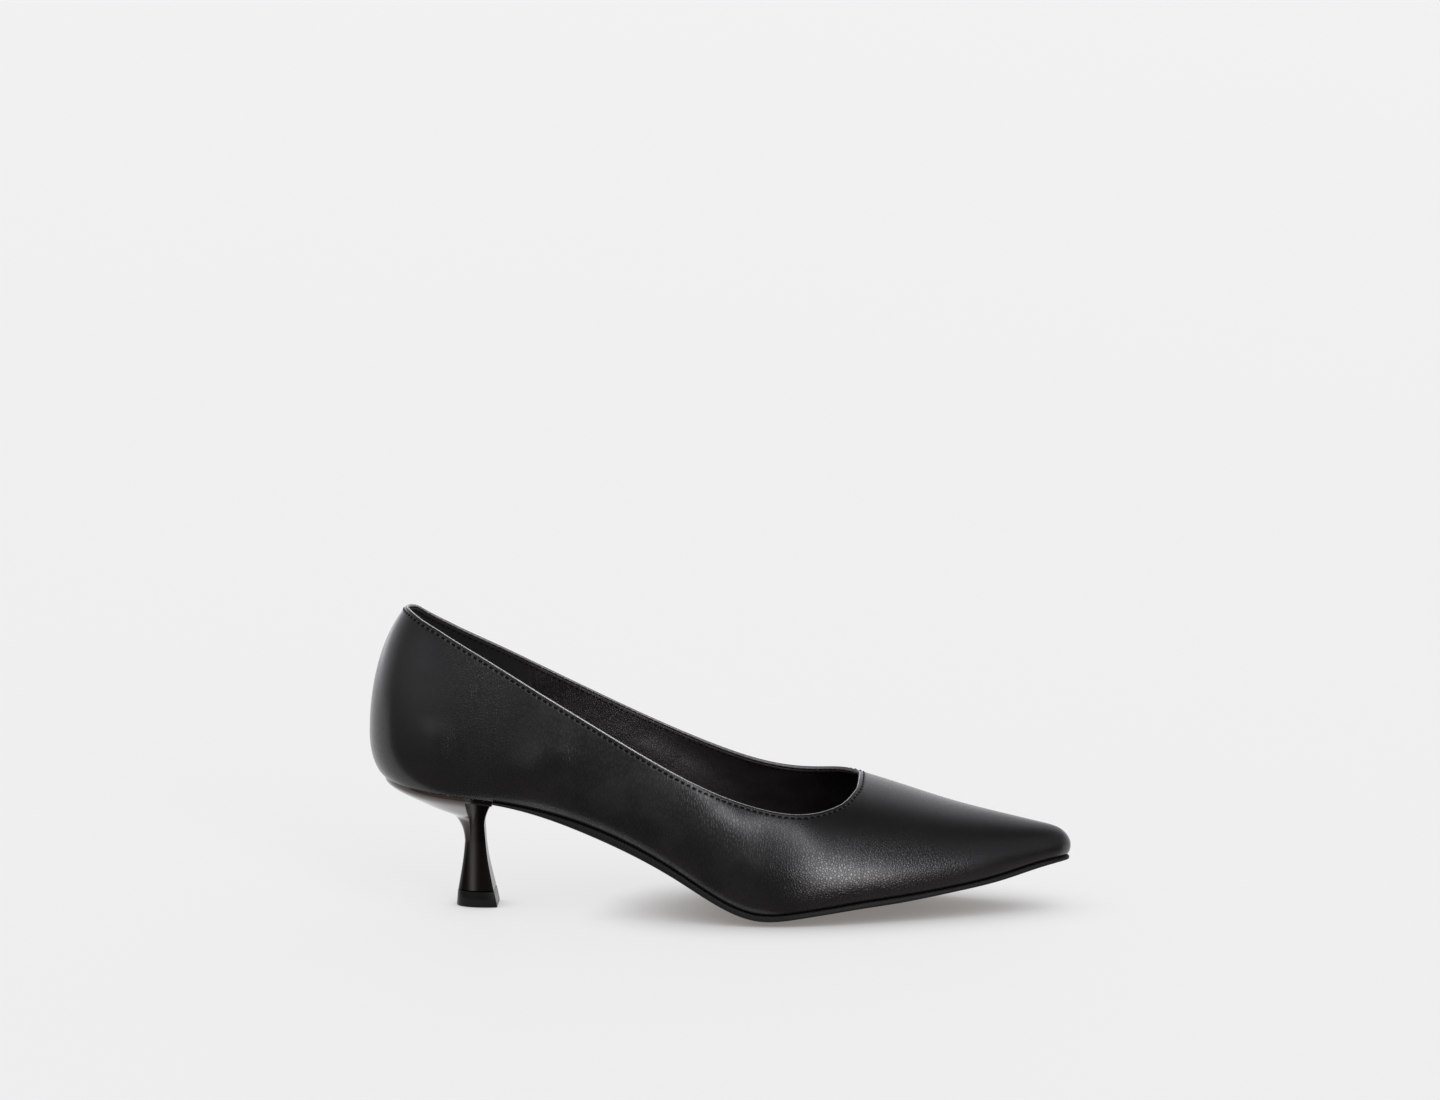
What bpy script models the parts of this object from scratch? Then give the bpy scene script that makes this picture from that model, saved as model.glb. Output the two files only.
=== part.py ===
"""Pointed toe pump, right shoe: upper, insole, outsole, kitten heel and heel tip.

The shoe is drawn on its last. Stations run from the back of the heel to the tip of the toe,
sides are across (outer side minus, inner side plus) and heights are above the floor, all in mm.
A closed loop runs round the last: back, outer side, toe tip, inner side. At any place on it a rib
climbs from the feather edge over the bulge of the last to the topline or to the ridge of the vamp.
"""
from collections import namedtuple
from math import cos, pi, radians, sin

import bmesh
import bpy
import numpy as np

MM = 0.001

# Driving dimensions, mm
LENGTH = 250.0
BALL_WIDTH = 78.6
INSTEP = 40.0            # crown above the feather edge at the throat, and the unit of the heights
BALL_SEAT = 4.8          # feather edge above the floor at the ball
HEEL_LIFT = 39.5         # feather edge of the heel above the one at the ball
TOE_SPRING = 14.1        # feather edge of the toe tip above the one at the ball

# Upper
WALL = 1.8
FEATHER_CURL = radians(20.0)
RIDGE_FALL = 0.22        # slope of the ridge carried on over the toe

# Sole, insole and heel
SEAT_GAP = 0.3
INSOLE_INSET = 2.4
INSOLE_THICK = 3.0
INSOLE_ROUND = 0.7
BREAST_STATION = 45.3
BREAST_GAP = 0.4
HEEL_SIDE = 2.0          # centre line of the heel
CUP_END = 35.4           # station where the cup ends in a wall, and the seat plate runs on to the breast
CUP_END_TURN = 0.48      # the same place on the neck, as a share of the turn round its back
PLATE_TOP = 0.10         # underside of the seat plate, between these shares of the drop to the neck
PLATE_LOW = 0.14
TIP_ROUND = 0.4
D_FLANK = 0.75           # powers of the rounded D that heel and tip follow
D_BACK = 0.8

# How finely the surfaces are cut
COLLAR_RIBS = 32
VAMP_RIBS = 18
RIB_STEPS_BELOW = 4
RIB_STEPS_ABOVE = 10
INSOLE_ROWS = 30
INSOLE_COLUMNS = 11
SOLE_ROWS = 36
SOLE_COLUMNS = 13
CUP_ROWS = 14
PLATE_ROWS = 5
SEAT_COLUMNS = 9
PLATE_RINGS = 3
CUP_RINGS = 12
TIP_TURNS = 29
TIP_COLUMNS = 5
TIP_EDGE_CUTS = 2
SMOOTH_ANGLE = radians(40.0)
CORNER_ANGLE = radians(60.0)
SAME_POINT = 0.000001    # metres
SLOPE_REACH = 0.2        # mm either way along the outline, to find its normal

# Material of each piece: name, colour, roughness
Finish = namedtuple("Finish", "name colour roughness")
FINISHES = {
    "upper": Finish("black leather", (0.012, 0.012, 0.013), 0.45),
    "insole": Finish("insole cover", (0.03, 0.024, 0.02), 0.6),
    "outsole": Finish("sole edge black", (0.015, 0.014, 0.013), 0.4),
    "heel": Finish("gloss black", (0.01, 0.01, 0.01), 0.12),
    "heel_tip": Finish("rubber black", (0.02, 0.02, 0.02), 0.5),
}

# Sections of the last. station, crown_at: percent of length. out, inn, crown_side: percent of
# ball width. lift, spring: percent of heel lift and toe spring. bulge, crown: percent of instep
# above the feather edge. Tucks from bulge to feather, arch, belly and sole: mm.
Section = namedtuple(
    "Section",
    "name station out inn tuck_out tuck_in lift spring arch bulge crown_at crown_side crown belly sole")
SECTIONS = (
    Section("back", 0.0, 2.5, 2.5, 4.6, 4.6, 108.6, 0.0, 0.0, 37.0, 10.8, 2.5, 168.3, 0.0, 0.8),
    Section("heel corner", 3.2, -22.4, 27.5, 4.4, 4.4, 105.6, 0.0, 0.0, 39.0, 10.8, 2.5, 171.3, 0.8, 0.8),
    Section("heel side", 10.8, -33.1, 38.2, 2.8, 2.8, 100.0, 0.0, 0.0, 41.0, 10.8, 2.5, 176.8, 1.5, 0.8),
    Section("breast", 20.0, -35.0, 37.5, 4.0, 6.0, 91.9, 0.0, 0.8, 38.5, 20.0, 3.0, 182.3, 1.2, 1.1),
    Section("waist", 32.0, -39.4, 36.9, 4.5, 12.0, 72.1, 0.0, 3.5, 31.8, 32.0, 5.0, 188.6, 0.6, 3.0),
    Section("behind ball", 44.0, -45.8, 42.6, 3.5, 9.5, 35.6, 0.0, 2.5, 35.3, 44.0, 7.5, 161.5, 1.2, 2.8),
    Section("outer ball", 55.2, -50.0, 48.3, 2.8, 4.5, 0.0, 0.0, 0.0, 35.3, 55.2, 10.0, 134.7, 2.7, 2.3),
    Section("inner ball", 62.0, -49.0, 50.0, 2.5, 3.8, 0.0, 4.3, 0.0, 30.0, 62.0, 11.5, 119.7, 2.7, 2.1),
    Section("toe joint", 66.8, -45.8, 47.1, 2.5, 3.5, 0.0, 14.6, 0.0, 25.1, 66.8, 12.0, 107.0, 2.3, 2.05),
    Section("throat", 69.8, -43.1, 44.8, 2.4, 3.2, 0.0, 21.8, 0.0, 23.1, 69.8, 12.0, 99.0, 1.8, 2.15),
    Section("vamp", 76.0, -36.6, 39.2, 2.2, 2.8, 0.0, 32.9, 0.0, 19.8, 76.0, 11.0, 83.5, 1.0, 2.15),
    Section("toes", 83.2, -27.7, 31.6, 2.0, 2.3, 0.0, 47.9, 0.0, 16.8, 83.2, 9.2, 64.7, 0.6, 1.8),
    Section("toe box", 90.4, -17.8, 22.8, 1.8, 2.0, 0.0, 70.0, 0.0, 13.0, 90.4, 7.3, 46.3, 0.3, 1.9),
    Section("toe shoulder", 96.0, -9.0, 16.2, 1.5, 1.5, 0.0, 94.0, 0.0, 9.0, 95.6, 5.8, 30.8, 0.2, 1.8),
    Section("toe corner", 98.92, -2.6, 11.8, 1.3, 1.3, 0.0, 100.5, 0.0, 8.5, 97.0, 5.2, 26.5, 0.1, 1.5),
    Section("tip", 100.0, 4.9, 4.9, 1.3, 1.3, 0.0, 100.0, 0.0, 8.5, 97.6, 4.9, 25.5, 0.0, 1.4),
)

# Topline from back to throat: station, percent of length, and height above the feather edge
# on the outer and the inner side, percent of instep
Topline = namedtuple("Topline", "name station out inn")
TOPLINE = (
    Topline("back", 0.0, 151.3, 151.3),
    Topline("heel corner", 3.2, 151.0, 150.2),
    Topline("heel side", 10.8, 142.8, 137.7),
    Topline("breast", 20.0, 117.8, 117.2),
    Topline("waist", 32.0, 93.4, 99.6),
    Topline("behind ball", 44.0, 87.3, 100.2),
    Topline("outer ball", 55.2, 92.7, 111.0),
    Topline("inner ball", 62.0, 84.4, 103.0),
    Topline("behind toe joint", 64.6, 83.6, 102.2),
    Topline("toe joint", 66.8, 85.1, 102.5),
    Topline("throat corner", 68.2, 88.0, 101.6),
    Topline("throat side", 69.2, 92.0, 99.9),
    Topline("throat front", 69.58, 94.8, 99.3),
    Topline("throat", 69.8, 99.0, 99.0),
)

# Edge of the outsole: depth as a share of its thickness, and how far it stands out, mm
SoleEdge = namedtuple("SoleEdge", "depth proud")
SOLE_EDGE = (
    SoleEdge(0.0, 0.2),
    SoleEdge(0.28, 0.8),
    SoleEdge(0.75, 0.8),
    SoleEdge(1.0, 0.2),
)

# Heel cup, shares of the way from the seat to the neck: down, in at the back, in at the breast
CupRow = namedtuple("CupRow", "down back breast")
HEEL_CUP = (
    CupRow(0.0, 0.0, 0.0),
    CupRow(0.06, 0.01, 0.05),
    CupRow(0.30, 0.32, 0.62),
    CupRow(0.46, 0.61, 0.93),
    CupRow(0.575, 0.83, 1.06),
    CupRow(0.66, 0.905, 1.10),
    CupRow(0.825, 0.976, 1.06),
    CupRow(1.0, 1.0, 1.0),
)

# Stem of the heel from neck to foot, and the tip under it: height, back, front, half width, mm
StemRow = namedtuple("StemRow", "height back front half_width")
HEEL_STEM = (
    StemRow(23.2, 33.7, 41.3, 3.6),
    StemRow(18.0, 33.2, 41.9, 4.4),
    StemRow(12.0, 32.3, 43.0, 5.6),
    StemRow(6.0, 31.25, 44.3, 6.8),
)
HEEL_TIP = (
    StemRow(5.7, 31.05, 44.5, 7.0),
    StemRow(0.0, 30.6, 45.7, 7.4),
)


def column(table, name):
    """One named column of a table."""
    return np.array([getattr(row, name) for row in table])


STATION = LENGTH * column(SECTIONS, "station") / 100
OUT = BALL_WIDTH * column(SECTIONS, "out") / 100
INN = BALL_WIDTH * column(SECTIONS, "inn") / 100
FEATHER = BALL_SEAT + (HEEL_LIFT * column(SECTIONS, "lift") + TOE_SPRING * column(SECTIONS, "spring")) / 100
THROAT = [row.name for row in SECTIONS].index("throat")

# Place of each section on the loop: distance along the mean half outline
KNOTS = np.append(0.0, np.cumsum(np.hypot(np.diff(STATION), np.diff(INN - OUT) / 2)))
HALF = KNOTS[-1]
ROUND = 2 * HALF


def spline(knots, values, at):
    """Natural cubic spline through the values, read at the places given."""
    step = np.diff(knots)
    size = len(knots)
    inner = np.arange(1, size - 1)
    system = np.eye(size)
    system[inner, inner - 1] = step[:-1]
    system[inner, inner] = 2 * (step[:-1] + step[1:])
    system[inner, inner + 1] = step[1:]
    change = np.zeros(size)
    change[inner] = 6 * np.diff(np.diff(values) / step)
    bend = np.linalg.solve(system, change)
    span = np.clip(np.searchsorted(knots, at) - 1, 0, size - 2)
    width = step[span]
    after = (at - knots[span]) / width
    before = 1 - after
    curved = (before ** 3 - before) * bend[span] + (after ** 3 - after) * bend[span + 1]
    return before * values[span] + after * values[span + 1] + curved * width ** 2 / 6


def loop(out_values, in_values, place):
    """Closed spline round the last, from one value a section on the outer and the inner side."""
    values = np.concatenate([out_values, in_values[-2:0:-1]])
    knots = np.concatenate([KNOTS, ROUND - KNOTS[-2:0:-1]])
    turns = np.concatenate([knots - ROUND, knots, knots + ROUND])
    return spline(turns, np.tile(values, 3), np.mod(place, ROUND))


def both_sides(name, place):
    """Closed spline of a column that is alike on the two sides."""
    values = column(SECTIONS, name)
    return loop(values, values, place)


def outline(place):
    """Plan of the bulge line and its outward normal."""
    shifts = (-SLOPE_REACH, 0.0, SLOPE_REACH)
    across = [loop(OUT, INN, place + shift) for shift in shifts]
    along = [loop(STATION, STATION, place + shift) for shift in shifts]
    normal_x = across[2] - across[0]
    normal_y = along[0] - along[2]
    size = np.hypot(normal_x, normal_y)
    return along[1], across[1], normal_x / size, normal_y / size


def feather_line(place, proud=0.0):
    """Feather edge: the outline drawn in by the tuck, moved out again by proud."""
    x, y, normal_x, normal_y = outline(place)
    inset = loop(column(SECTIONS, "tuck_out"), column(SECTIONS, "tuck_in"), place) - proud
    z = loop(FEATHER, FEATHER + column(SECTIONS, "arch"), place)
    return x - inset * normal_x, y - inset * normal_y, z


def top_angle(place, bulge_z, crown_z):
    """Angle at which a rib stops: at the topline on the collar, at the ridge on the vamp."""
    signed = np.mod(place + HALF, ROUND) - HALF
    knots = place_at(LENGTH * column(TOPLINE, "station") / 100)
    level = loop(FEATHER, FEATHER, knots)
    out_z = level + INSTEP * column(TOPLINE, "out") / 100
    in_z = level + INSTEP * column(TOPLINE, "inn") / 100
    both = np.concatenate([-knots[:0:-1], knots])
    top_z = spline(both, np.concatenate([in_z[:0:-1], out_z]), signed)
    share = np.clip((top_z - bulge_z) / (crown_z - bulge_z), 0.0, 1.0)
    on_vamp = np.abs(signed) >= KNOTS[THROAT] - SAME_POINT
    return np.where(on_vamp, pi / 2, np.arcsin(share))


def upper_surface(place, sweep):
    """Outside of the upper. sweep is -1 at the feather edge, 0 on the bulge, 1 at the top edge.

    Below the bulge a rib is part of an ellipse curling in to the feather edge. Above it the rib is
    part of an ellipse from the bulge to the crown, stopped at the topline or at the ridge.
    """
    bulge_x, bulge_y, normal_x, normal_y = outline(place)
    feather_x, feather_y, feather_z = feather_line(place)
    level = loop(FEATHER, FEATHER, place)
    bulge_z = level + INSTEP * both_sides("bulge", place) / 100
    crown_x = LENGTH * both_sides("crown_at", place) / 100
    crown_y = BALL_WIDTH * both_sides("crown_side", place) / 100
    crown_z = level + INSTEP * both_sides("crown", place) / 100
    curl = FEATHER_CURL + (pi / 2 - FEATHER_CURL) * (1 + np.minimum(sweep, 0))
    inward = (1 - np.sin(curl)) / (1 - sin(FEATHER_CURL))
    drop = np.cos(curl) / cos(FEATHER_CURL)
    lean = np.maximum(sweep, 0) * top_angle(place, bulge_z, crown_z)
    reach = 1 - np.cos(lean)
    rise = np.sin(lean)
    x = bulge_x + (feather_x - bulge_x) * inward + (crown_x - bulge_x) * reach
    y = bulge_y + (feather_y - bulge_y) * inward + (crown_y - bulge_y) * reach
    z = bulge_z - (bulge_z - feather_z) * drop + (crown_z - bulge_z) * rise
    z = z - RIDGE_FALL * np.maximum(x - crown_x, 0) * rise
    return np.stack(np.broadcast_arrays(x, y, z), axis=-1)


def footbed(place, across, proud, rise):
    """Surface under the foot. across is -1 at the outer feather edge and 1 at the inner one."""
    out_x, out_y, out_z = feather_line(place, proud)
    in_x, in_y, in_z = feather_line(ROUND - place, proud)
    share = (across + 1) / 2
    x = out_x + (in_x - out_x) * share
    y = out_y + (in_y - out_y) * share
    z = out_z + (in_z - out_z) * share - both_sides("belly", place) * (1 - across ** 2) + rise
    return np.stack(np.broadcast_arrays(x, y, z), axis=-1)


def place_at(station):
    """Place on the outer half of the loop where the outline passes a station."""
    places = np.linspace(0.0, HALF, 2000)
    return np.interp(station, loop(STATION, STATION, places), places)


def toe_spacing(count):
    """Shares from 0 to 1 that close up towards 1, where the toe bends most."""
    even = np.linspace(0.0, 1.0, count + 1)
    return (even + np.sin(even * pi / 2)) / 2


def end_spacing(count):
    """Shares from 0 to 1 that close up towards both ends."""
    return (1 - np.cos(np.linspace(0.0, pi, count + 1))) / 2


def grid_faces(rows, columns, wrap_rows=False, wrap_columns=False):
    """Quads of a grid of points numbered row by row, joined end to end where it wraps."""
    row = np.arange(rows if wrap_rows else rows - 1)[:, None]
    col = np.arange(columns if wrap_columns else columns - 1)[None, :]
    next_row = (row + 1) % rows
    next_col = (col + 1) % columns
    corners = (row * columns + col, next_row * columns + col,
               next_row * columns + next_col, row * columns + next_col)
    return np.stack(corners, axis=-1).reshape(-1, 4).tolist()


def finish(piece):
    """Principled material of a piece."""
    look = FINISHES[piece]
    material = bpy.data.materials.new(look.name)
    material.use_nodes = True
    shader = material.node_tree.nodes["Principled BSDF"]
    shader.inputs["Base Color"].default_value = (*look.colour, 1.0)
    shader.inputs["Roughness"].default_value = look.roughness
    shader.inputs["Metallic"].default_value = 0.0
    return material


def add_loft(name, points, faces, home, closed=True):
    """Piece from points in mm, with the points that meet at a pole or a ridge merged."""
    mesh = bpy.data.meshes.new(name)
    mesh.from_pydata((points.reshape(-1, 3) * MM).tolist(), [], faces)
    work = bmesh.new()
    work.from_mesh(mesh)
    bmesh.ops.remove_doubles(work, verts=work.verts, dist=SAME_POINT)
    bmesh.ops.dissolve_degenerate(work, edges=work.edges, dist=SAME_POINT / 10)
    if closed:
        bmesh.ops.recalc_face_normals(work, faces=work.faces)
    work.to_mesh(mesh)
    work.free()
    mesh.shade_smooth()
    mesh.set_sharp_from_angle(angle=SMOOTH_ANGLE)
    mesh.materials.append(finish(name))
    piece = bpy.data.objects.new(name, mesh)
    home.collection.objects.link(piece)
    piece.parent = home.origin
    return piece


def add_upper(home):
    """Upper: one wall, open at the collar and underneath, closed along the ridge of the vamp."""
    collar = KNOTS[THROAT] * end_spacing(COLLAR_RIBS)
    vamp = KNOTS[THROAT] + (HALF - KNOTS[THROAT]) * toe_spacing(VAMP_RIBS)
    outer = np.concatenate([collar, vamp[1:]])
    places = np.concatenate([outer, ROUND - outer[-2:0:-1]])
    below = np.linspace(-1.0, 0.0, RIB_STEPS_BELOW + 1)
    above = np.linspace(0.0, 1.0, RIB_STEPS_ABOVE + 1)
    sweep = np.concatenate([below, above[1:]])
    points = upper_surface(places[:, None], sweep[None, :])
    faces = grid_faces(len(places), len(sweep), wrap_rows=True)
    upper = add_loft("upper", points, faces, home, closed=False)
    wall = upper.modifiers.new("wall", "SOLIDIFY")
    wall.thickness = WALL * MM
    wall.offset = -1.0
    wall.use_even_offset = True
    wall.use_quality_normals = True
    return upper


def slab_rings(places, across, edge):
    """Rings of a slab on the footbed: over its top, down the inner edge, back under, up the outer one.

    edge lists how far out and how high the edge lies, from its top to its underside.
    """
    (top_proud, top_rise), *middle, (low_proud, low_rise) = edge
    side = np.ones((1, 1))
    top = footbed(places, across, top_proud, top_rise)
    inner = [footbed(places, side, proud, rise) for proud, rise in middle]
    under = footbed(places, -across, low_proud, low_rise)
    outer = [footbed(places, -side, proud, rise) for proud, rise in reversed(middle)]
    return np.concatenate([top, *inner, under, *outer], axis=1)


def add_insole(home):
    """Insole: a slab inside the upper from heel to toe, its upper edge rounded off."""
    places = (HALF * end_spacing(INSOLE_ROWS))[:, None]
    across = np.linspace(-1.0, 1.0, INSOLE_COLUMNS)[None, :]
    edge = ((-INSOLE_INSET - INSOLE_ROUND, INSOLE_THICK),
            (-INSOLE_INSET, INSOLE_THICK - INSOLE_ROUND),
            (-INSOLE_INSET, 0.0))
    rings = slab_rings(places, across, edge)
    faces = grid_faces(*rings.shape[:2], wrap_columns=True)
    return add_loft("insole", rings, faces, home)


def add_outsole(home):
    """Outsole: a slab from the heel breast to the toe, cut flat where the ball treads."""
    start = place_at(BREAST_STATION + BREAST_GAP)
    places = (start + (HALF - start) * toe_spacing(SOLE_ROWS))[:, None]
    across = np.linspace(-1.0, 1.0, SOLE_COLUMNS)[None, :]
    thick = both_sides("sole", places)
    edge = [(row.proud, -SEAT_GAP - thick * row.depth) for row in SOLE_EDGE]
    rings = slab_rings(places, across, edge)
    rings[..., 2] = np.maximum(rings[..., 2], 0.0)
    count = rings.shape[1]
    faces = grid_faces(len(rings), count, wrap_columns=True)
    faces.append(list(range(count)))
    return add_loft("outsole", rings, faces, home)


def d_ring(turn, across, row):
    """Ring of a D: round from the outer front corner by the back to the inner one, then flat.

    turn runs from -1 to 1 round the back, and across from 1 to -1 along the front between corners.
    """
    angle = turn * pi / 2
    x = row.front - (row.front - row.back) * np.cos(angle).clip(0.0) ** D_BACK
    y = row.half_width * np.sign(turn) * np.abs(np.sin(angle)) ** D_FLANK
    x = np.append(x, np.full(len(across), row.front))
    y = np.append(y, row.half_width * across)
    return np.stack([x, HEEL_SIDE + y, np.full(len(x), row.height)], axis=-1)


def add_heel(home):
    """Heel: a cup under the seat that sweeps in to a neck, and a D-shaped stem that flares again.

    The cup ends in a wall. Ahead of it the seat runs on to the breast as a thin plate over the stem.
    """
    breast = place_at(BREAST_STATION)
    wall = place_at(CUP_END)
    cup_rows = wall * end_spacing(CUP_ROWS)
    plate_rows = np.linspace(wall, breast, PLATE_ROWS + 1)
    across = np.linspace(-1.0, 1.0, SEAT_COLUMNS)
    rows = np.concatenate([cup_rows, plate_rows[1:]])
    seat = footbed(rows[:, None], across[None, :], 0.0, -SEAT_GAP)
    ring_row = np.concatenate([np.arange(CUP_ROWS + 1), np.arange(CUP_ROWS, len(rows))])
    ahead = np.concatenate([np.zeros(CUP_ROWS + 1), np.linspace(0.0, 1.0, PLATE_ROWS + 1)])
    on_plate = np.concatenate([np.zeros(CUP_ROWS + 1), np.ones(PLATE_ROWS + 1)])
    turn = CUP_END_TURN * np.minimum(rows[ring_row] / wall, 1) + (1 - CUP_END_TURN) * ahead
    front = across[-2:0:-1]
    rim = np.concatenate([seat[ring_row[:0:-1], 0], seat[ring_row, -1], seat[-1, -2:0:-1]])
    ring_turn = np.concatenate([-turn[:0:-1], turn])
    neck = d_ring(ring_turn, front, HEEL_STEM[0])
    ahead = np.concatenate([ahead[:0:-1], ahead, np.ones(len(front))])[None, :]
    on_plate = np.concatenate([on_plate[:0:-1], on_plate, np.ones(len(front))])[None, :]
    plate_down = np.linspace(0.0, PLATE_TOP, PLATE_RINGS)
    down = np.concatenate([plate_down, np.linspace(PLATE_LOW, 1.0, CUP_RINGS)])[:, None]
    steps = column(HEEL_CUP, "down")
    back_in = spline(steps, column(HEEL_CUP, "back"), down)
    breast_in = spline(steps, column(HEEL_CUP, "breast"), down)
    under_plate = on_plate * (down > PLATE_TOP)
    along = back_in + (breast_in - back_in) * ahead
    inward = back_in + (1 - back_in) * under_plate
    moved = np.stack(np.broadcast_arrays(along, inward, down), axis=-1)
    cup = rim + (neck - rim) * moved
    stem = np.array([d_ring(ring_turn, front, row) for row in HEEL_STEM[1:]])
    rings = np.concatenate([cup, stem])
    count = rings.shape[1]
    faces = grid_faces(len(rings), count, wrap_columns=True)
    faces.append(list(range((len(rings) - 1) * count, len(rings) * count)))
    seat_faces = np.array(grid_faces(len(rows), len(across))) + rings.size // 3
    faces += seat_faces.tolist()
    points = np.concatenate([rings.reshape(-1, 3), seat.reshape(-1, 3)])
    return add_loft("heel", points, faces, home)


def add_heel_tip(home):
    """Heel tip: a D that flares a little to the floor, with rounded edges."""
    turn = np.linspace(-1.0, 1.0, TIP_TURNS)
    across = np.linspace(1.0, -1.0, TIP_COLUMNS)[1:-1]
    rings = np.array([d_ring(turn, across, row) for row in HEEL_TIP])
    count = rings.shape[1]
    faces = grid_faces(len(rings), count, wrap_columns=True)
    faces += [list(range(count)), list(range(count, 2 * count))]
    tip = add_loft("heel_tip", rings, faces, home)
    edge = tip.modifiers.new("edge", "BEVEL")
    edge.width = TIP_ROUND * MM
    edge.segments = TIP_EDGE_CUTS
    edge.limit_method = "ANGLE"
    edge.angle_limit = CORNER_ANGLE
    return tip


def main():
    """Clear the scene and build the shoe with its origin under the middle of its box."""
    for old in list(bpy.data.objects):
        bpy.data.objects.remove(old, do_unlink=True)
    collection = bpy.data.collections.new("pointed_toe_pump")
    bpy.context.scene.collection.children.link(collection)
    origin = bpy.data.objects.new("shoe_origin", None)
    origin.location.x = -LENGTH / 2 * MM
    collection.objects.link(origin)
    home = namedtuple("Home", "collection origin")(collection, origin)
    for add in (add_upper, add_insole, add_outsole, add_heel, add_heel_tip):
        add(home)


main()
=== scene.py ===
"""Pointed toe pump, right shoe: the finish of its pieces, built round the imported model.

Stations run from the back of the heel to the tip of the toe, sides are across (outer side minus, inner
side plus) and heights are above the floor, all in mm. put_piece() carries them over to metres round the
middle of the shoe. A closed loop runs round the last: back, outer side, toe tip, inner side. At any
place on it a rib climbs from the feather edge over the bulge to the topline or to the ridge of the vamp.
"""
from collections import namedtuple
from math import cos, pi, radians, sin

import bpy
import numpy as np
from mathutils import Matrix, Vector


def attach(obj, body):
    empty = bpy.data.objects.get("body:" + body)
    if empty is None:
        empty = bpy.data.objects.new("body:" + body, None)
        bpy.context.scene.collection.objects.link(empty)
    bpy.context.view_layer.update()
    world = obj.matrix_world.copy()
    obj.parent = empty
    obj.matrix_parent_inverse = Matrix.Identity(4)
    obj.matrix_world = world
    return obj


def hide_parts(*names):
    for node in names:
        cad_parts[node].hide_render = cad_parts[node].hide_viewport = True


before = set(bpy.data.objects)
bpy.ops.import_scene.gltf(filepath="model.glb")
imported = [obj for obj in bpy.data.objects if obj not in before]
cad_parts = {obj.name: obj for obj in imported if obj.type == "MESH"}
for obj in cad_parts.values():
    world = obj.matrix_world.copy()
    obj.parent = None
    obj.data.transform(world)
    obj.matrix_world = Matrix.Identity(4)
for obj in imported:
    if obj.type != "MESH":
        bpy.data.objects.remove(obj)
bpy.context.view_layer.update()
MM = 0.001
DEGREES = 180 / pi
JOINS_PER_MM = 2000      # points nearer than one of these steps are joined

# Driving dimensions of the last, mm
LENGTH = 250.0
BALL_WIDTH = 78.6
INSTEP = 40.0
BALL_SEAT = 4.8
HEEL_LIFT = 39.5
TOE_SPRING = 14.1
FEATHER_CURL = radians(20.0)
RIDGE_FALL = 0.22

# Walls, edges and stitches of the upper, mm
SKIN = 1.2               # outer skin, folded over at the collar
WALL = 1.8               # skin and lining together
LAYER_GAP = 0.02         # between skin and lining
LINING_DROP = 1.1        # top of the lining below the top of the fold
STITCH_DOWN = 1.75       # stitch row below the top of the fold
STITCH_PITCH = 2.25
STITCH_LONG = 1.7
STITCH_THICK = 0.42
STITCH_ARCH = 0.1        # middle of a stitch above the surface
STITCH_DIP = 0.32        # its ends below its middle
STITCH_SINK = 0.04       # inner row into the lining
LINING_SEAM = 55.7       # station where the heel lining meets the vamp lining
SEAM_SOFT = 0.2

# Insole, sole and heel, mm
SEAT_GAP = 0.3
INSOLE_INSET = 2.4
INSOLE_THICK = 3.0
INSOLE_CROWN = 0.5
INSOLE_LIP = 0.5         # thin lip of the insole in from the feather edge, close to the lining
BREAST_STATION = 45.3
BREAST_GAP = 0.05
HEEL_SIDE = 2.0
HEEL_TUCK = 0.5          # rim of the heel cup in from the feather edge
CUP_END = 35.4
CUP_END_TURN = 0.48
PLATE_TOP = 0.10
PLATE_LOW = 0.14
D_TURN = radians(112.0)  # turn of the stem's round from the middle of its back to its front corners
D_FLANK = 0.85
D_BACK = 0.9

# Finish of the upper by place, mm: a pair gives where a change starts and where it is complete
QUARTER_BACK = (40.0, 75.0)      # stations where the quarter's upright grain starts and ends
QUARTER_FRONT = (165.0, 125.0)
COUNTER_END = (17.0, 45.0)       # stations of the smooth counter and toe
TOE_START = (225.0, 185.0)
RIDGE_STATIONS = (140.0, 165.0)  # smooth ridge of the vamp
RIDGE_HEIGHTS = (24.0, 34.0)
INNER_FOLD = (8.0, 14.0)         # sides where the painted highlight of the fold turns dark
FOLD_START = (0.09, 0.17)        # shares of the fold where its painted highlight starts, turns grey and ends
FOLD_TURN = (0.45, 0.6)
FOLD_END = (0.95, 0.8)
GRAIN_SIZE = 0.95
GRAIN_DEEP = 0.045
GRAIN_UPRIGHT = 0.35             # scale of height where the grain is upright
SMOOTH_GRAIN = 0.3               # share of the grain left on counter, toe and ridge
QUARTER_GRAIN = 0.7              # and on the quarters
FINE_SIZE = 0.32
FINE_DEEP = 0.012
CLOUD_SIZE = 14.0
CLOUD_DEEP = 0.02
GROOVE_WIDE = 0.42
GROOVE_DEEP = 0.25

# Finish of the heel by place, mm
# the lacquered cup, which also carries a painted reflection of the floor
CUP_HEIGHTS = (18.0, 34.0)
CUP_STATIONS = (38.0, 34.0)
CORNER_STATION = 36.7            # where the stem's side turns to its back, the middle of a strip of gloss and painted sheen
CORNER_WIDE = 1.2

# Streaks of gloss and of painted sheen on the lining: their fall to the toe, then by streak the height of
# its line under the middle of the shoe, half width, station of its middle and half length, mm
STREAK_FALL = 0.5
Streak = namedtuple("Streak", "height width station length")
STREAKS = (
    Streak(52.0, 3.0, 85.0, 17.0),
    Streak(40.5, 3.5, 105.0, 15.0),
)

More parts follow.
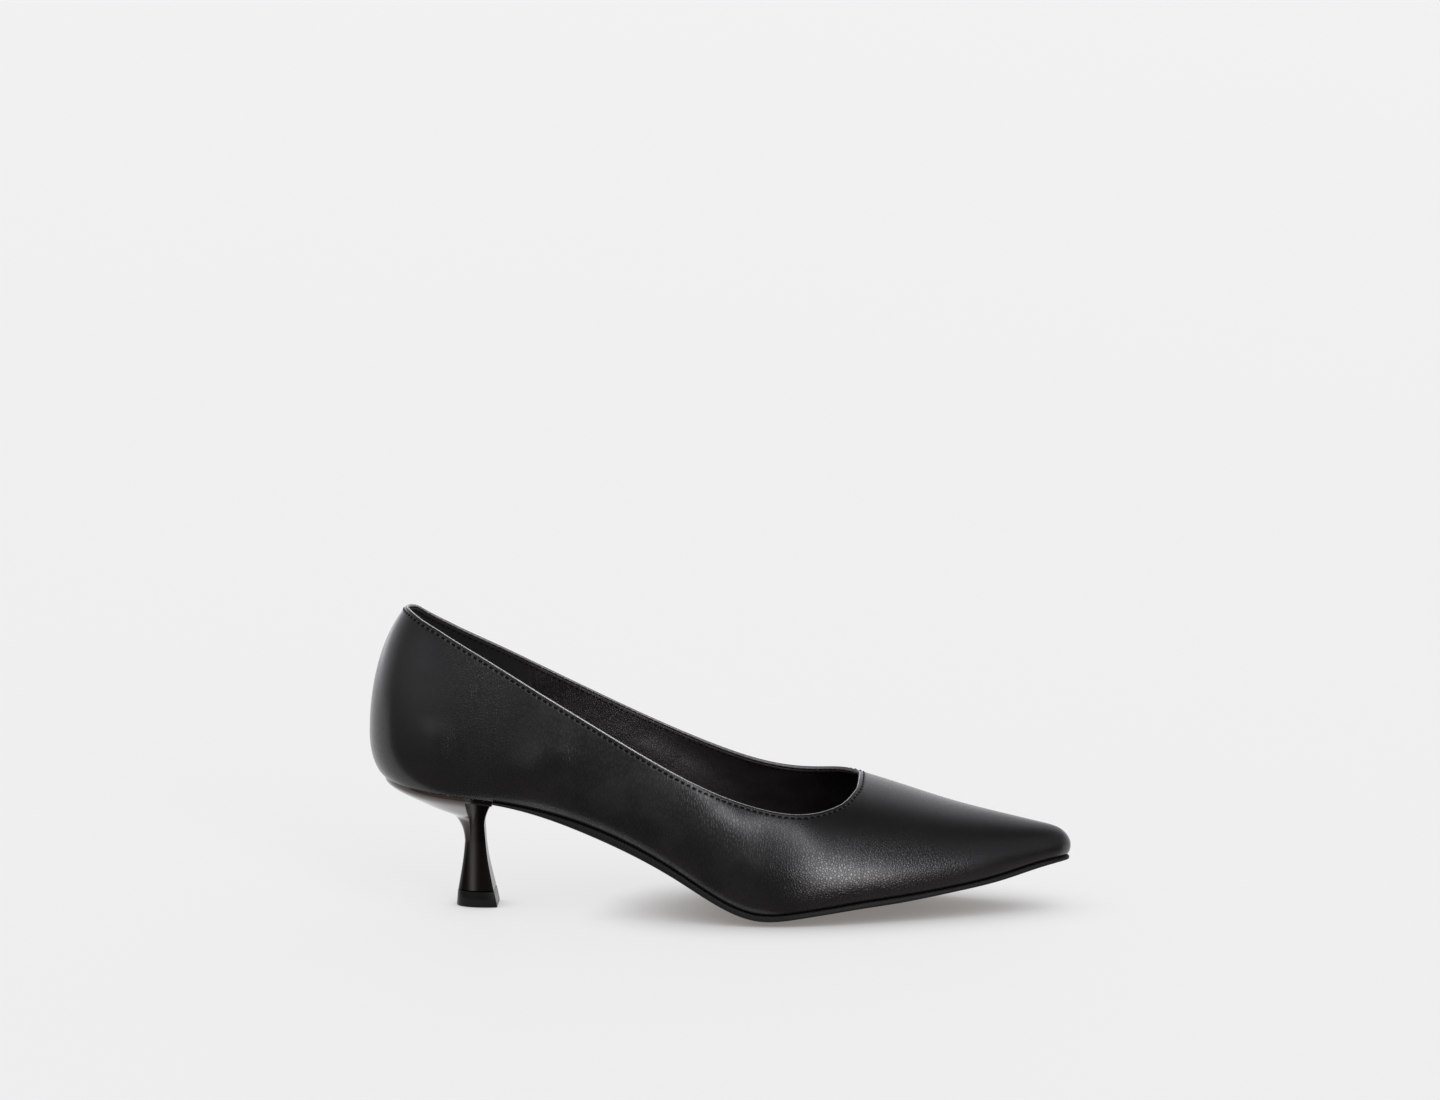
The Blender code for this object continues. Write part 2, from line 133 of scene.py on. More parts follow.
# Colours, as linear red, green and blue
LEATHER_DARK = (0.0035, 0.0034, 0.0036)
LEATHER_LIGHT = (0.0085, 0.0082, 0.0085)
# painted highlight on the leather between the stitches of the collar row
LEATHER_STITCH_HIGHLIGHT = (0.06, 0.058, 0.057)
FOLD_HIGHLIGHT_OUTER = (0.75, 0.74, 0.72)          # painted highlight on the fold, by the skin, on the outer and the inner side of the shoe
FOLD_HIGHLIGHT_INNER = (0.12, 0.115, 0.11)
FOLD_HIGHLIGHT_LINING = (0.3, 0.28, 0.275)         # painted highlight on the fold by the lining
LINING_HEEL = (0.012, 0.0105, 0.01)
LINING_VAMP = (0.0135, 0.0108, 0.0098)
# painted sheen on the lining, a lighter colour that stands in for light
LINING_PAINTED_SHEEN = (0.125, 0.1125, 0.1075)
SOCK_DARK = (0.016, 0.0125, 0.0108)
SOCK_LIGHT = (0.025, 0.0195, 0.0165)
THREAD = (0.003, 0.003, 0.0032)
SOLE_PAINT = (0.008, 0.0074, 0.007)
SOLE_TREAD = (0.02, 0.0175, 0.016)
HEEL_DEEP = (0.0025, 0.0018, 0.0015)
# painted reflection of the floor on the heel cup
HEEL_CUP_PAINTED_REFLECTION = (0.03, 0.018, 0.014)
# painted sheen down the heel stem
HEEL_PAINTED_SHEEN = (0.05, 0.042, 0.04)
TIP_RUBBER = (0.003, 0.003, 0.003)
# painted shadow on the glowing floor close under a piece, then its glow with a faint wider painted shadow
# and without it
FLOOR_SHADE = (0.195, 0.18, 0.168)
FLOOR_GLOW_FAINT_SHADE = (0.7, 0.7, 0.702)
FLOOR_GLOW = (0.73, 0.73, 0.732)

# Floor: how far it runs each way, m, and how far off a piece still darkens its glow as painted shadow, mm
FLOOR_REACH = 40.0
SHADE_CLOSE = 30.0
SHADE_WIDE = 120.0

# Line on the floor, mm: before it the floor is not mirrored. Side of its straight run, where that ends,
# and the point beside the toe that it then slants to
FLOOR_LINE = (-42.0, 15.0, 130.0, 6.0)

# Studio light by direction, degrees. Turns go to the toe's side, from straight before the shoe or from
# straight behind it, and rises are from the horizon. A pair gives where a change starts and is complete.
KEY_LEAN = 0.12
KEY_LEAN_TOP = 36.0
KEY_HEEL_SIDE = (14.0, 30.0)
KEY_TOE_SIDE = (40.0, 33.0)
KEY_FOOT = (-30.0, -10.0)
KEY_TOP = (85.0, 62.0)
KEY_STRENGTH = 4.2
LOW_KEY_RISE = (-3.0, 18.0)      # middle and width of the brightest part of the key
LOW_KEY_TOE_SIDE = (42.0, 32.0)
LOW_KEY_STRENGTH = 6.6
BACKDROP_DEPTH = (-0.1, 0.6)     # part of the direction that points behind the shoe
BACKDROP_FOOT = (-55.0, -35.0)
BACKDROP_TOP = (35.0, 0.0)
BACKDROP_STRENGTH = 0.75
ROOM_FOOT = (-12.0, 22.0)
ROOM_TOP = (75.0, 45.0)
ROOM_STRENGTH = 0.24
GROUND_TOP = (-8.0, -35.0)
GROUND_STRENGTH = 0.08
GROUND_TOE_SIDE = (15.0, 70.0)
GROUND_TOE_STRENGTH = 0.2
DARK_STRENGTH = 0.08
WARM_RISE = (0.0, -30.0)
LIGHT_COOL = (0.97, 0.96, 1.0)
LIGHT_WARM = (1.0, 0.9, 0.84)

# Round soft lights: middle and width of the turn, middle and width of the rise, degrees, and strength
Glow = namedtuple("Glow", "turn turn_width rise rise_width strength")
FILL = Glow(-40.0, 42.0, 22.0, 32.0, 0.4)        # turn from straight before the shoe
HEEL_RIM = Glow(-32.0, 20.0, -8.0, 10.0, 2.3)    # turns from straight behind it
TOE_RIM = Glow(26.0, 20.0, 29.0, 20.0, 0.55)

# Camera: where the photograph was taken from, and where the point under the middle of the shoe lies in it
FRAME_WIDTH, FRAME_HEIGHT = 1440, 1100
FOCAL_PIXELS = 5050.0
AIM_PIXEL_X, AIM_PIXEL_Y = 720.2, 782.0
AIM_HEIGHT = 45.0
CAMERA_DISTANCE = 1800.0
CAMERA_RISE = radians(10.2)
CAMERA_TURN = radians(1.5)
SENSOR_WIDTH = 36.0

# Sections of the last. station, crown_at: percent of length. out, inn, crown_side: percent of
# ball width. lift, spring: percent of heel lift and toe spring. bulge, crown: percent of instep
# above the feather edge. Tucks from bulge to feather, arch, belly and sole: mm.
Section = namedtuple(
    "Section",
    "name station out inn tuck_out tuck_in lift spring arch bulge crown_at crown_side crown belly sole")
SECTIONS = (
    Section("back", 0.0, 2.5, 2.5, 4.6, 4.6, 108.6, 0.0, 0.0, 37.0, 10.8, 2.5, 168.3, 0.0, 0.8),
    Section("heel corner", 3.2, -22.4, 27.5, 4.4, 4.4, 105.6, 0.0, 0.0, 39.0, 10.8, 2.5, 171.3, 0.8, 0.8),
    Section("heel side", 10.8, -33.1, 38.2, 2.8, 2.8, 100.0, 0.0, 0.0, 41.0, 10.8, 2.5, 176.8, 1.5, 0.8),
    Section("breast", 20.0, -35.0, 37.5, 4.0, 6.0, 91.9, 0.0, 0.8, 38.5, 20.0, 3.0, 182.3, 1.2, 1.1),
    Section("waist", 32.0, -39.4, 36.9, 4.5, 12.0, 72.1, 0.0, 3.5, 31.8, 32.0, 5.0, 188.6, 0.6, 3.0),
    Section("behind ball", 44.0, -45.8, 42.6, 3.5, 9.5, 35.6, 0.0, 2.5, 35.3, 44.0, 7.5, 161.5, 1.2, 2.8),
    Section("outer ball", 55.2, -50.0, 48.3, 2.8, 4.5, 0.0, 0.0, 0.0, 35.3, 55.2, 10.0, 134.7, 2.7, 2.3),
    Section("inner ball", 62.0, -49.0, 50.0, 2.5, 3.8, 0.0, 4.3, 0.0, 30.0, 62.0, 11.5, 119.7, 2.7, 2.1),
    Section("toe joint", 66.8, -45.8, 47.1, 2.5, 3.5, 0.0, 14.6, 0.0, 25.1, 66.8, 12.0, 107.0, 2.3, 2.05),
    Section("throat", 69.8, -43.1, 44.8, 2.4, 3.2, 0.0, 21.8, 0.0, 23.1, 69.8, 12.0, 99.0, 1.8, 2.15),
    Section("vamp", 76.0, -36.6, 39.2, 2.2, 2.8, 0.0, 32.9, 0.0, 19.8, 76.0, 11.0, 83.5, 1.0, 2.15),
    Section("toes", 83.2, -27.7, 31.6, 2.0, 2.3, 0.0, 47.9, 0.0, 16.8, 83.2, 9.2, 64.7, 0.6, 1.8),
    Section("toe box", 90.4, -17.8, 22.8, 1.8, 2.0, 0.0, 70.0, 0.0, 13.0, 90.4, 7.3, 46.3, 0.3, 1.9),
    Section("toe shoulder", 96.0, -9.0, 16.2, 1.5, 1.5, 0.0, 94.0, 0.0, 9.0, 95.6, 5.8, 30.8, 0.2, 1.8),
    Section("toe corner", 98.92, -2.6, 11.8, 1.3, 1.3, 0.0, 100.5, 0.0, 8.5, 97.0, 5.2, 26.5, 0.1, 1.5),
    Section("tip", 100.0, 4.9, 4.9, 1.3, 1.3, 0.0, 100.0, 0.0, 8.5, 97.6, 4.9, 25.5, 0.0, 1.4),
)

# Topline from back to throat: station, percent of length, height above the feather edge on the outer and
# the inner side, percent of instep, and how much of an inset moves it forward and down
Topline = namedtuple("Topline", "name station out inn forward drop")
TOPLINE = (
    Topline("back", 0.0, 151.3, 151.3, 0.0, 0.95),
    Topline("heel corner", 3.2, 151.0, 150.2, 0.0, 0.95),
    Topline("heel side", 10.8, 142.8, 137.7, 0.0, 0.95),
    Topline("breast", 20.0, 117.8, 117.2, 0.0, 1.0),
    Topline("waist", 32.0, 93.4, 99.6, 0.0, 1.0),
    Topline("behind ball", 44.0, 87.3, 100.2, 0.0, 1.0),
    Topline("outer ball", 55.2, 92.7, 111.0, 0.0, 0.95),
    Topline("inner ball", 62.0, 84.4, 103.0, 0.27, 0.87),
    Topline("behind toe joint", 64.6, 83.6, 102.2, 0.5, 0.67),
    Topline("toe joint", 66.8, 85.1, 102.5, 0.62, 0.52),
    Topline("throat corner", 68.2, 88.0, 101.6, 0.75, 0.35),
    Topline("throat side", 69.2, 92.0, 99.9, 0.92, 0.12),
    Topline("throat front", 69.58, 94.8, 99.3, 0.98, 0.04),
    Topline("throat", 69.8, 99.0, 99.0, 1.0, 0.0),
)

# Edge of the outsole: depth as a share of its thickness, and how far it stands out, mm
SoleEdge = namedtuple("SoleEdge", "depth proud")
SOLE_EDGE = (
    SoleEdge(0.0, 0.1),
    SoleEdge(0.05, 0.45),
    SoleEdge(0.14, 0.68),
    SoleEdge(0.28, 0.8),
    SoleEdge(0.52, 0.84),
    SoleEdge(0.75, 0.8),
    SoleEdge(0.88, 0.66),
    SoleEdge(0.96, 0.42),
    SoleEdge(1.0, 0.1),
)

# Edge of the insole: how far in from the feather edge and how high above the footbed, mm
PadEdge = namedtuple("PadEdge", "inset rise")
PAD_EDGE = (
    PadEdge(INSOLE_INSET + 1.3, INSOLE_THICK),
    PadEdge(INSOLE_INSET + 0.75, INSOLE_THICK - 0.1),
    PadEdge(INSOLE_INSET + 0.3, INSOLE_THICK - 0.4),
    PadEdge(INSOLE_INSET - 0.2, INSOLE_THICK - 1.0),
    PadEdge(INSOLE_LIP + 0.3, 1.3),
    PadEdge(INSOLE_LIP, 0.6),
    PadEdge(INSOLE_LIP + 0.1, 0.05),
)

# Heel cup, shares of the way from the seat to the neck: down, in at the back, in at the breast
CupRow = namedtuple("CupRow", "down back breast")
HEEL_CUP = (
    CupRow(0.0, 0.0, 0.0),
    CupRow(0.06, 0.01, 0.05),
    CupRow(0.30, 0.32, 0.62),
    CupRow(0.46, 0.61, 0.93),
    CupRow(0.575, 0.83, 1.06),
    CupRow(0.66, 0.905, 1.10),
    CupRow(0.825, 0.976, 1.06),
    CupRow(1.0, 1.0, 1.0),
)

# Stem of the heel from neck to foot, and the tip under it: height, back, front, half width, mm
StemRow = namedtuple("StemRow", "height back front half_width")
HEEL_STEM = (
    StemRow(23.2, 33.7, 41.3, 3.6),
    StemRow(18.0, 33.2, 41.9, 4.4),
    StemRow(12.0, 32.3, 43.0, 5.6),
    StemRow(6.0, 31.25, 44.3, 6.8),
)
HEEL_TIP = (
    StemRow(5.7, 31.4, 44.15, 6.65),
    StemRow(5.62, 31.2, 44.35, 6.85),
    StemRow(5.4, 31.08, 44.52, 6.99),
    StemRow(0.4, 30.66, 45.58, 7.36),
    StemRow(0.12, 30.78, 45.46, 7.24),
    StemRow(0.0, 31.05, 45.2, 6.97),
)

# Soft hollows (depth above 0) and swells of the outer side: station and height of the
# middle, slope from level, half length, half width and depth, degrees and mm
Crease = namedtuple("Crease", "name station height slope length width depth")
CREASES = (
    Crease("counter top swell", 23.0, 95.0, 80.0, 9.0, 5.0, -0.45),
    Crease("counter swell", 25.0, 62.0, 84.0, 8.0, 5.0, -1.15),
    Crease("counter end", 36.0, 64.0, 76.0, 18.0, 6.0, 0.35),
    Crease("quarter swell", 64.0, 57.0, 40.0, 11.0, 7.0, -1.2),
    Crease("quarter hollow", 80.0, 58.0, 62.0, 14.0, 8.0, 0.2),
    Crease("flex one", 112.0, 34.0, 74.0, 9.0, 1.8, 0.08),
    Crease("flex two", 117.5, 31.0, 76.0, 10.0, 1.6, 0.09),
    Crease("flex three", 123.0, 28.0, 80.0, 9.0, 1.7, 0.07),
    Crease("flex four", 129.5, 26.0, 84.0, 8.0, 1.9, 0.06),
)


def column(table, name):
    """One named column of a table."""
    return np.array([getattr(row, name) for row in table])


STATION = LENGTH * column(SECTIONS, "station") / 100
OUT = BALL_WIDTH * column(SECTIONS, "out") / 100
INN = BALL_WIDTH * column(SECTIONS, "inn") / 100
FEATHER = BALL_SEAT + (HEEL_LIFT * column(SECTIONS, "lift") + TOE_SPRING * column(SECTIONS, "spring")) / 100
KNOTS = np.append(0.0, np.cumsum(np.hypot(np.diff(STATION), np.diff(INN - OUT) / 2)))
HALF = KNOTS[-1]
ROUND = 2 * HALF


def spline(knots, values, at):
    """Natural cubic spline through the values, read at the places given."""
    step = np.diff(knots)
    size = len(knots)
    inner = np.arange(1, size - 1)
    system = np.eye(size)
    system[inner, inner - 1] = step[:-1]
    system[inner, inner] = 2 * (step[:-1] + step[1:])
    system[inner, inner + 1] = step[1:]
    change = np.zeros(size)
    change[inner] = 6 * np.diff(np.diff(values) / step)
    bend = np.linalg.solve(system, change)
    span = np.clip(np.searchsorted(knots, at) - 1, 0, size - 2)
    width = step[span]
    after = (at - knots[span]) / width
    before = 1 - after
    curved = (before ** 3 - before) * bend[span] + (after ** 3 - after) * bend[span + 1]
    return before * values[span] + after * values[span + 1] + curved * width ** 2 / 6


def loop(out_values, in_values, place):
    """Closed spline round the last, from one value a section on the outer and the inner side."""
    values = np.concatenate([out_values, in_values[-2:0:-1]])
    knots = np.concatenate([KNOTS, ROUND - KNOTS[-2:0:-1]])
    turns = np.concatenate([knots - ROUND, knots, knots + ROUND])
    return spline(turns, np.tile(values, 3), np.mod(place, ROUND))


def both_sides(name, place):
    """Closed spline of a column that is alike on the two sides."""
    values = column(SECTIONS, name)
    return loop(values, values, place)


def unit(vectors):
    """Vectors of length one."""
    return vectors / np.linalg.norm(vectors, axis=-1, keepdims=True)


def smooth_step(low, high, value):
    """0 below low, 1 above high, and an S between."""
    share = np.clip((value - low) / (high - low), 0.0, 1.0)
    return share * share * (3 - 2 * share)


def outline(place):
    """Plan of the bulge line and its outward normal."""
    reach = 0.2
    across = [loop(OUT, INN, place + shift) for shift in (-reach, 0.0, reach)]
    along = [loop(STATION, STATION, place + shift) for shift in (-reach, 0.0, reach)]
    normal_x = across[2] - across[0]
    normal_y = along[0] - along[2]
    size = np.hypot(normal_x, normal_y)
    return along[1], across[1], normal_x / size, normal_y / size


def feather_line(place, proud=0.0):
    """Feather edge: the outline drawn in by the tuck, moved out again by proud."""
    x, y, normal_x, normal_y = outline(place)
    inset = loop(column(SECTIONS, "tuck_out"), column(SECTIONS, "tuck_in"), place) - proud
    z = loop(FEATHER, FEATHER + column(SECTIONS, "arch"), place)
    return x - inset * normal_x, y - inset * normal_y, z


def last_point(place, climb):
    """Outside of the last: an ellipse curling from the feather edge up to the bulge while climb, an angle,
    is below 0, and an ellipse from the bulge to the crown while it grows from 0 to a right angle."""
    bulge_x, bulge_y, _, _ = outline(place)
    feather_x, feather_y, feather_z = feather_line(place)
    level = loop(FEATHER, FEATHER, place)
    bulge_z = level + INSTEP * both_sides("bulge", place) / 100
    crown_x = LENGTH * both_sides("crown_at", place) / 100
    crown_y = BALL_WIDTH * both_sides("crown_side", place) / 100
    crown_z = level + INSTEP * both_sides("crown", place) / 100
    curl = pi / 2 + np.minimum(climb, 0)
    inward = (1 - np.sin(curl)) / (1 - sin(FEATHER_CURL))
    drop = np.cos(curl) / cos(FEATHER_CURL)
    reach = 1 - np.cos(np.maximum(climb, 0))
    rise = np.sin(np.maximum(climb, 0))
    x = bulge_x + (feather_x - bulge_x) * inward + (crown_x - bulge_x) * reach
    y = bulge_y + (feather_y - bulge_y) * inward + (crown_y - bulge_y) * reach
    z = bulge_z - (bulge_z - feather_z) * drop + (crown_z - bulge_z) * rise
    z = z - RIDGE_FALL * np.maximum(x - crown_x, 0) * rise
    return np.stack(np.broadcast_arrays(x, y, z), axis=-1)


def last_normal(place, climb):
    """Outward normal of the last: the cross product of its slopes along the loop and up the rib."""
    reach, tilt = 0.05, 0.002
    along = last_point(place + reach, climb) - last_point(place - reach, climb)
    up = last_point(place, climb + tilt) - last_point(place, climb - tilt)
    return unit(np.cross(along, up))


def place_at(station):
    """Place on the outer half of the loop where the outline passes a station."""
    places = np.linspace(0.0, HALF, 2000)
    return np.interp(station, loop(STATION, STATION, places), places)


def topline_places(inset):
    """Places of the topline's rows, those round the throat moved forward by the inset."""
    return place_at(LENGTH * column(TOPLINE, "station") / 100 + inset * column(TOPLINE, "forward"))


def top_climb(place, inset):
    """Angle at which a rib stops: at the topline moved in by the inset, or at the ridge of the vamp."""
    signed = np.mod(place + HALF, ROUND) - HALF
    knots = topline_places(inset)
    fall = both_sides("crown", knots) - both_sides("crown", topline_places(0.0))
    level = loop(FEATHER, FEATHER, knots) + INSTEP * fall / 100 - inset * column(TOPLINE, "drop")
    out_z = level + INSTEP * column(TOPLINE, "out") / 100
    in_z = level + INSTEP * column(TOPLINE, "inn") / 100
    both = np.concatenate([-knots[:0:-1], knots])
    top_z = spline(both, np.concatenate([in_z[:0:-1], out_z]), signed)
    level = loop(FEATHER, FEATHER, place)
    bulge_z = level + INSTEP * both_sides("bulge", place) / 100
    crown_z = level + INSTEP * both_sides("crown", place) / 100
    share = np.clip((top_z - bulge_z) / (crown_z - bulge_z), 0.0, 1.0)
    return np.where(np.abs(signed) >= knots[-1] - 1e-6, pi / 2, np.arcsin(share))


def footbed(place, across, proud, rise):
    """Surface under the foot. across is -1 at the outer feather edge and 1 at the inner one."""
    out_x, out_y, out_z = feather_line(place, proud)
    in_x, in_y, in_z = feather_line(ROUND - place, proud)
    share = (across + 1) / 2
    x = out_x + (in_x - out_x) * share
    y = out_y + (in_y - out_y) * share
    z = out_z + (in_z - out_z) * share - both_sides("belly", place) * (1 - across ** 2) + rise
    return np.stack(np.broadcast_arrays(x, y, z), axis=-1)


def toe_spacing(count):
    """Shares from 0 to 1 that close up towards 1, where the toe bends most."""
    even = np.linspace(0.0, 1.0, count + 1)
    return (even + np.sin(even * pi / 2)) / 2


def end_spacing(count):
    """Shares from 0 to 1 that close up towards both ends."""
    return (1 - np.cos(np.linspace(0.0, pi, count + 1))) / 2


def grid_faces(rows, columns, wrap_rows=False, wrap_columns=False):
    """Quads of a grid of points numbered row by row, joined end to end where it wraps."""
    row = np.arange(rows if wrap_rows else rows - 1)[:, None]
    col = np.arange(columns if wrap_columns else columns - 1)[None, :]
    next_row = (row + 1) % rows
    next_col = (col + 1) % columns
    corners = (row * columns + col, next_row * columns + col,
               next_row * columns + next_col, row * columns + next_col)
    return np.stack(np.broadcast_arrays(*corners), axis=-1).reshape(-1, 4)


Grid = namedtuple("Grid", "points wrap_rows wrap_columns", defaults=(False, False))


def join_grids(*grids):
    """Points and quads of several grids as one list of each."""
    points = []
    faces = []
    start = 0
    for grid in grids:
        rows, columns = grid.points.shape[:2]
        faces.append(grid_faces(rows, columns, grid.wrap_rows, grid.wrap_columns) + start)
        points.append(grid.points.reshape(-1, 3))
        start += rows * columns
    return np.concatenate(points), np.concatenate(faces)


def put_piece(name, points, faces, material, marks=None, sharp=None):
    """Piece of the shoe from points in mm and quads. Points that coincide are joined, quads that shrink to
    a line are dropped and those with one short side become triangles. marks are values kept by point."""
    keys = np.round(points * JOINS_PER_MM).astype(np.int64)
    _, first, same = np.unique(keys, axis=0, return_index=True, return_inverse=True)
    faces = same.reshape(-1)[faces]
    twin = faces == np.roll(faces, -1, axis=1)
    quads = faces[~twin.any(axis=1)]
    thin = twin.sum(axis=1) == 1
    triangles = faces[thin][~twin[thin]].reshape(-1, 3)
    placed = (points[first] - (LENGTH / 2, 0.0, 0.0)) * MM
    mesh = bpy.data.meshes.new(name)
    mesh.from_pydata(placed.tolist(), [], quads.tolist() + triangles.tolist())
    for label, values in (marks or {}).items():
        layer = mesh.attributes.new(label, "FLOAT", "POINT")
        layer.data.foreach_set("value", np.ascontiguousarray(values[first], dtype=np.float32))
    mesh.shade_smooth()
    if sharp:
        mesh.set_sharp_from_angle(angle=sharp)
    mesh.materials.append(material)
    piece = bpy.data.objects.new(name, mesh)
    bpy.context.scene.collection.objects.link(piece)
    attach(piece, "root")
    return piece


class Wire:
    """A socket of a material's nodes. Operators on values add Math nodes, node() adds any other node."""

    def __init__(self, tree, socket=None):
        self.tree = tree
        self.socket = socket

    def node(self, kind, settings=None, inputs=None, output=0):
        """Add a node: its settings first, then values or wires by input. Returns one of its outputs."""
        made = self.tree.nodes.new(kind)
        for name, value in (settings or {}).items():
            setattr(made, name, value)
        for name, value in (inputs or {}).items():
            if isinstance(value, Wire):
                self.tree.links.new(value.socket, made.inputs[name])
            else:
                made.inputs[name].default_value = value
        return Wire(self.tree, made.outputs[output])

    def math(self, operation, *others):
        """Math node on this value and others."""
        values = dict(enumerate((self, *others)))
        return self.node("ShaderNodeMath", {"operation": operation}, values)

    def __add__(self, other):
        return self.math("ADD", other)

    def __radd__(self, other):
        return self.math("ADD", other)

    def __sub__(self, other):
        return self.math("SUBTRACT", other)

    def __rsub__(self, other):
        return self * -1.0 + other

    def __mul__(self, other):
        return self.math("MULTIPLY", other)

    def __rmul__(self, other):
        return self.math("MULTIPLY", other)

    def __truediv__(self, other):
        return self.math("DIVIDE", other)

    def step(self, low, high):
        """0 below low, 1 above high, and an S between; the other way round where low is the greater."""
        return self.node("ShaderNodeMapRange", {"interpolation_type": "SMOOTHSTEP"},
                         {"Value": self, "From Min": low, "From Max": high})

    def hump(self, middle, width):
        """Bell of height 1 round the middle, falling off over the width."""
        off = (self - middle) / width
        return (off * off * -1.0).math("EXPONENT")

    def mix(self, low, high):
        """Colour between two colours, with this value as the share of the second."""
        low, high = (end if isinstance(end, Wire) else (*end, 1.0) for end in (low, high))
        inputs = {"Factor": self, "A": low, "B": high}
        return self.node("ShaderNodeMix", {"data_type": "RGBA"}, inputs, output=2)


def new_material(name, base, roughness):
    """Material with one Principled shader, set to the plain values that stand where nothing is linked.
    Returns it, its shader node and a wire to start sums from."""
    material = bpy.data.materials.new(name)
    material.use_nodes = True
    shader = material.node_tree.nodes["Principled BSDF"]
    shader.inputs["Base Color"].default_value = (*base, 1.0)
    shader.inputs["Roughness"].default_value = roughness
    return material, shader, Wire(material.node_tree)


def link(shader, socket, wire):
    """Join a wire to a socket of the shader."""
    wire.tree.links.new(wire.socket, shader.inputs[socket])


def link_bump(shader, height_mm):
    """Bump of a height in mm."""
    bump = height_mm.node("ShaderNodeBump", None, {"Strength": 1.0, "Distance": MM, "Height": height_mm})
    link(shader, "Normal", bump)


def axes(wire, vector):
    """The three parts of a vector as values."""
    return [wire.node("ShaderNodeSeparateXYZ", None, {"Vector": vector}, output=axis) for axis in range(3)]


def shoe_places(wire):
    """Place on a piece as a vector in metres, then its station, side and height in mm."""
    place = wire.node("ShaderNodeTexCoord", output="Object")
    x, y, z = axes(wire, place)
    return place, x / MM + LENGTH / 2, y / MM, z / MM


def mark(wire, name):
    """Value kept by point under a name."""
    return wire.node("ShaderNodeAttribute", {"attribute_name": name}, output=2)


def noise(wire, place, size_mm, detail=2.0, roughness=0.5):
    """Cloudy noise from 0 to 1 with lumps of a size."""
    scale = 1 / (size_mm * MM)
    inputs = {"Vector": place, "Scale": scale, "Detail": detail, "Roughness": roughness}
    return wire.node("ShaderNodeTexNoise", None, inputs)


def stretched(wire, place, scale):
    """Place with its axes scaled."""
    return wire.node("ShaderNodeMapping", {"vector_type": "POINT"}, {"Vector": place, "Scale": scale})


def pebbles(wire, place, size_mm):
    """Pebbled grain: cells of a size, 0 in the valleys, rising over their flanks to 1 on top."""
    flank = 0.32
    inputs = {"Vector": place, "Scale": 1 / (size_mm * MM), "Randomness": 1.0}
    return wire.node("ShaderNodeTexVoronoi", {"feature": "DISTANCE_TO_EDGE"}, inputs).step(0.0, flank)


def leather_finish():
    """Black faux leather: pebbles, upright on the quarters and nearly smooth on counter, toe and ridge,
    with patches of gloss on the quarters. Below the collar runs the groove of the stitches, with a painted
    highlight on the leather between them, and the fold carries a painted highlight, a pale line most on
    the outer side."""
    material, shader, wire = new_material("upper_leather", LEATHER_DARK, 0.3)
    place, station, side, height = shoe_places(wire)
    cloud = noise(wire, place, CLOUD_SIZE)
    fine = noise(wire, place, FINE_SIZE, detail=3.0, roughness=0.65)
    on_quarter = station.step(*QUARTER_BACK) * station.step(*QUARTER_FRONT)
    on_ridge = station.step(*RIDGE_STATIONS) * height.step(*RIDGE_HEIGHTS)
    loose = station.step(*COUNTER_END) * station.step(*TOE_START) * (1.0 - on_ridge)
    upright = pebbles(wire, stretched(wire, place, (1.0, 1.0, GRAIN_UPRIGHT)), GRAIN_SIZE)
    grain = pebbles(wire, place, GRAIN_SIZE) * (1.0 - on_quarter) + upright * on_quarter
    share = (SMOOTH_GRAIN + loose * (1 - SMOOTH_GRAIN)) * (1.0 - on_quarter * (1 - QUARTER_GRAIN))
    pebbled = (grain - 0.5) * share
    patches = on_quarter * (cloud.step(0.38, 0.62) - 0.5)
    row = mark(wire, "below_edge").hump(STITCH_DOWN - SKIN / 2, GROOVE_WIDE)
    dash = (mark(wire, "stitch_count") * (2 * pi)).math("COSINE").step(0.75, -0.1)
    groove = row * (0.3 + dash * 0.7)
    link_bump(shader, pebbled * GRAIN_DEEP + fine * FINE_DEEP + cloud * CLOUD_DEEP - groove * GROOVE_DEEP)
    link(shader, "Roughness", 0.22 + cloud * 0.06 - pebbled * 0.1 + groove * 0.45)
    link(shader, "Coat Weight", (0.45 + patches * 0.4 + pebbled * 0.6) * (1.0 - row * dash))
    shader.inputs["Coat Roughness"].default_value = 0.2
    shader.inputs["Specular IOR Level"].default_value = 0.32
    skin = (cloud * 0.4 + fine * 0.6).mix(LEATHER_DARK, LEATHER_LIGHT)
    # painted highlight on the leather between the stitches, where the puckered leather would catch light
    skin_and_stitch_highlight = (row * (1.0 - dash) * 0.5).mix(skin, LEATHER_STITCH_HIGHLIGHT)
    fold = mark(wire, "fold")
    # painted highlight along the fold: pale on the outer side, dark on the inner side, grey by the lining
    pale = fold.step(*FOLD_TURN).mix(side.step(*INNER_FOLD).mix(FOLD_HIGHLIGHT_OUTER, FOLD_HIGHLIGHT_INNER), FOLD_HIGHLIGHT_LINING)
    on_fold_highlight = fold.step(*FOLD_START) * fold.step(*FOLD_END)
    link(shader, "Base Color", on_fold_highlight.mix(skin_and_stitch_highlight, pale))
    return material


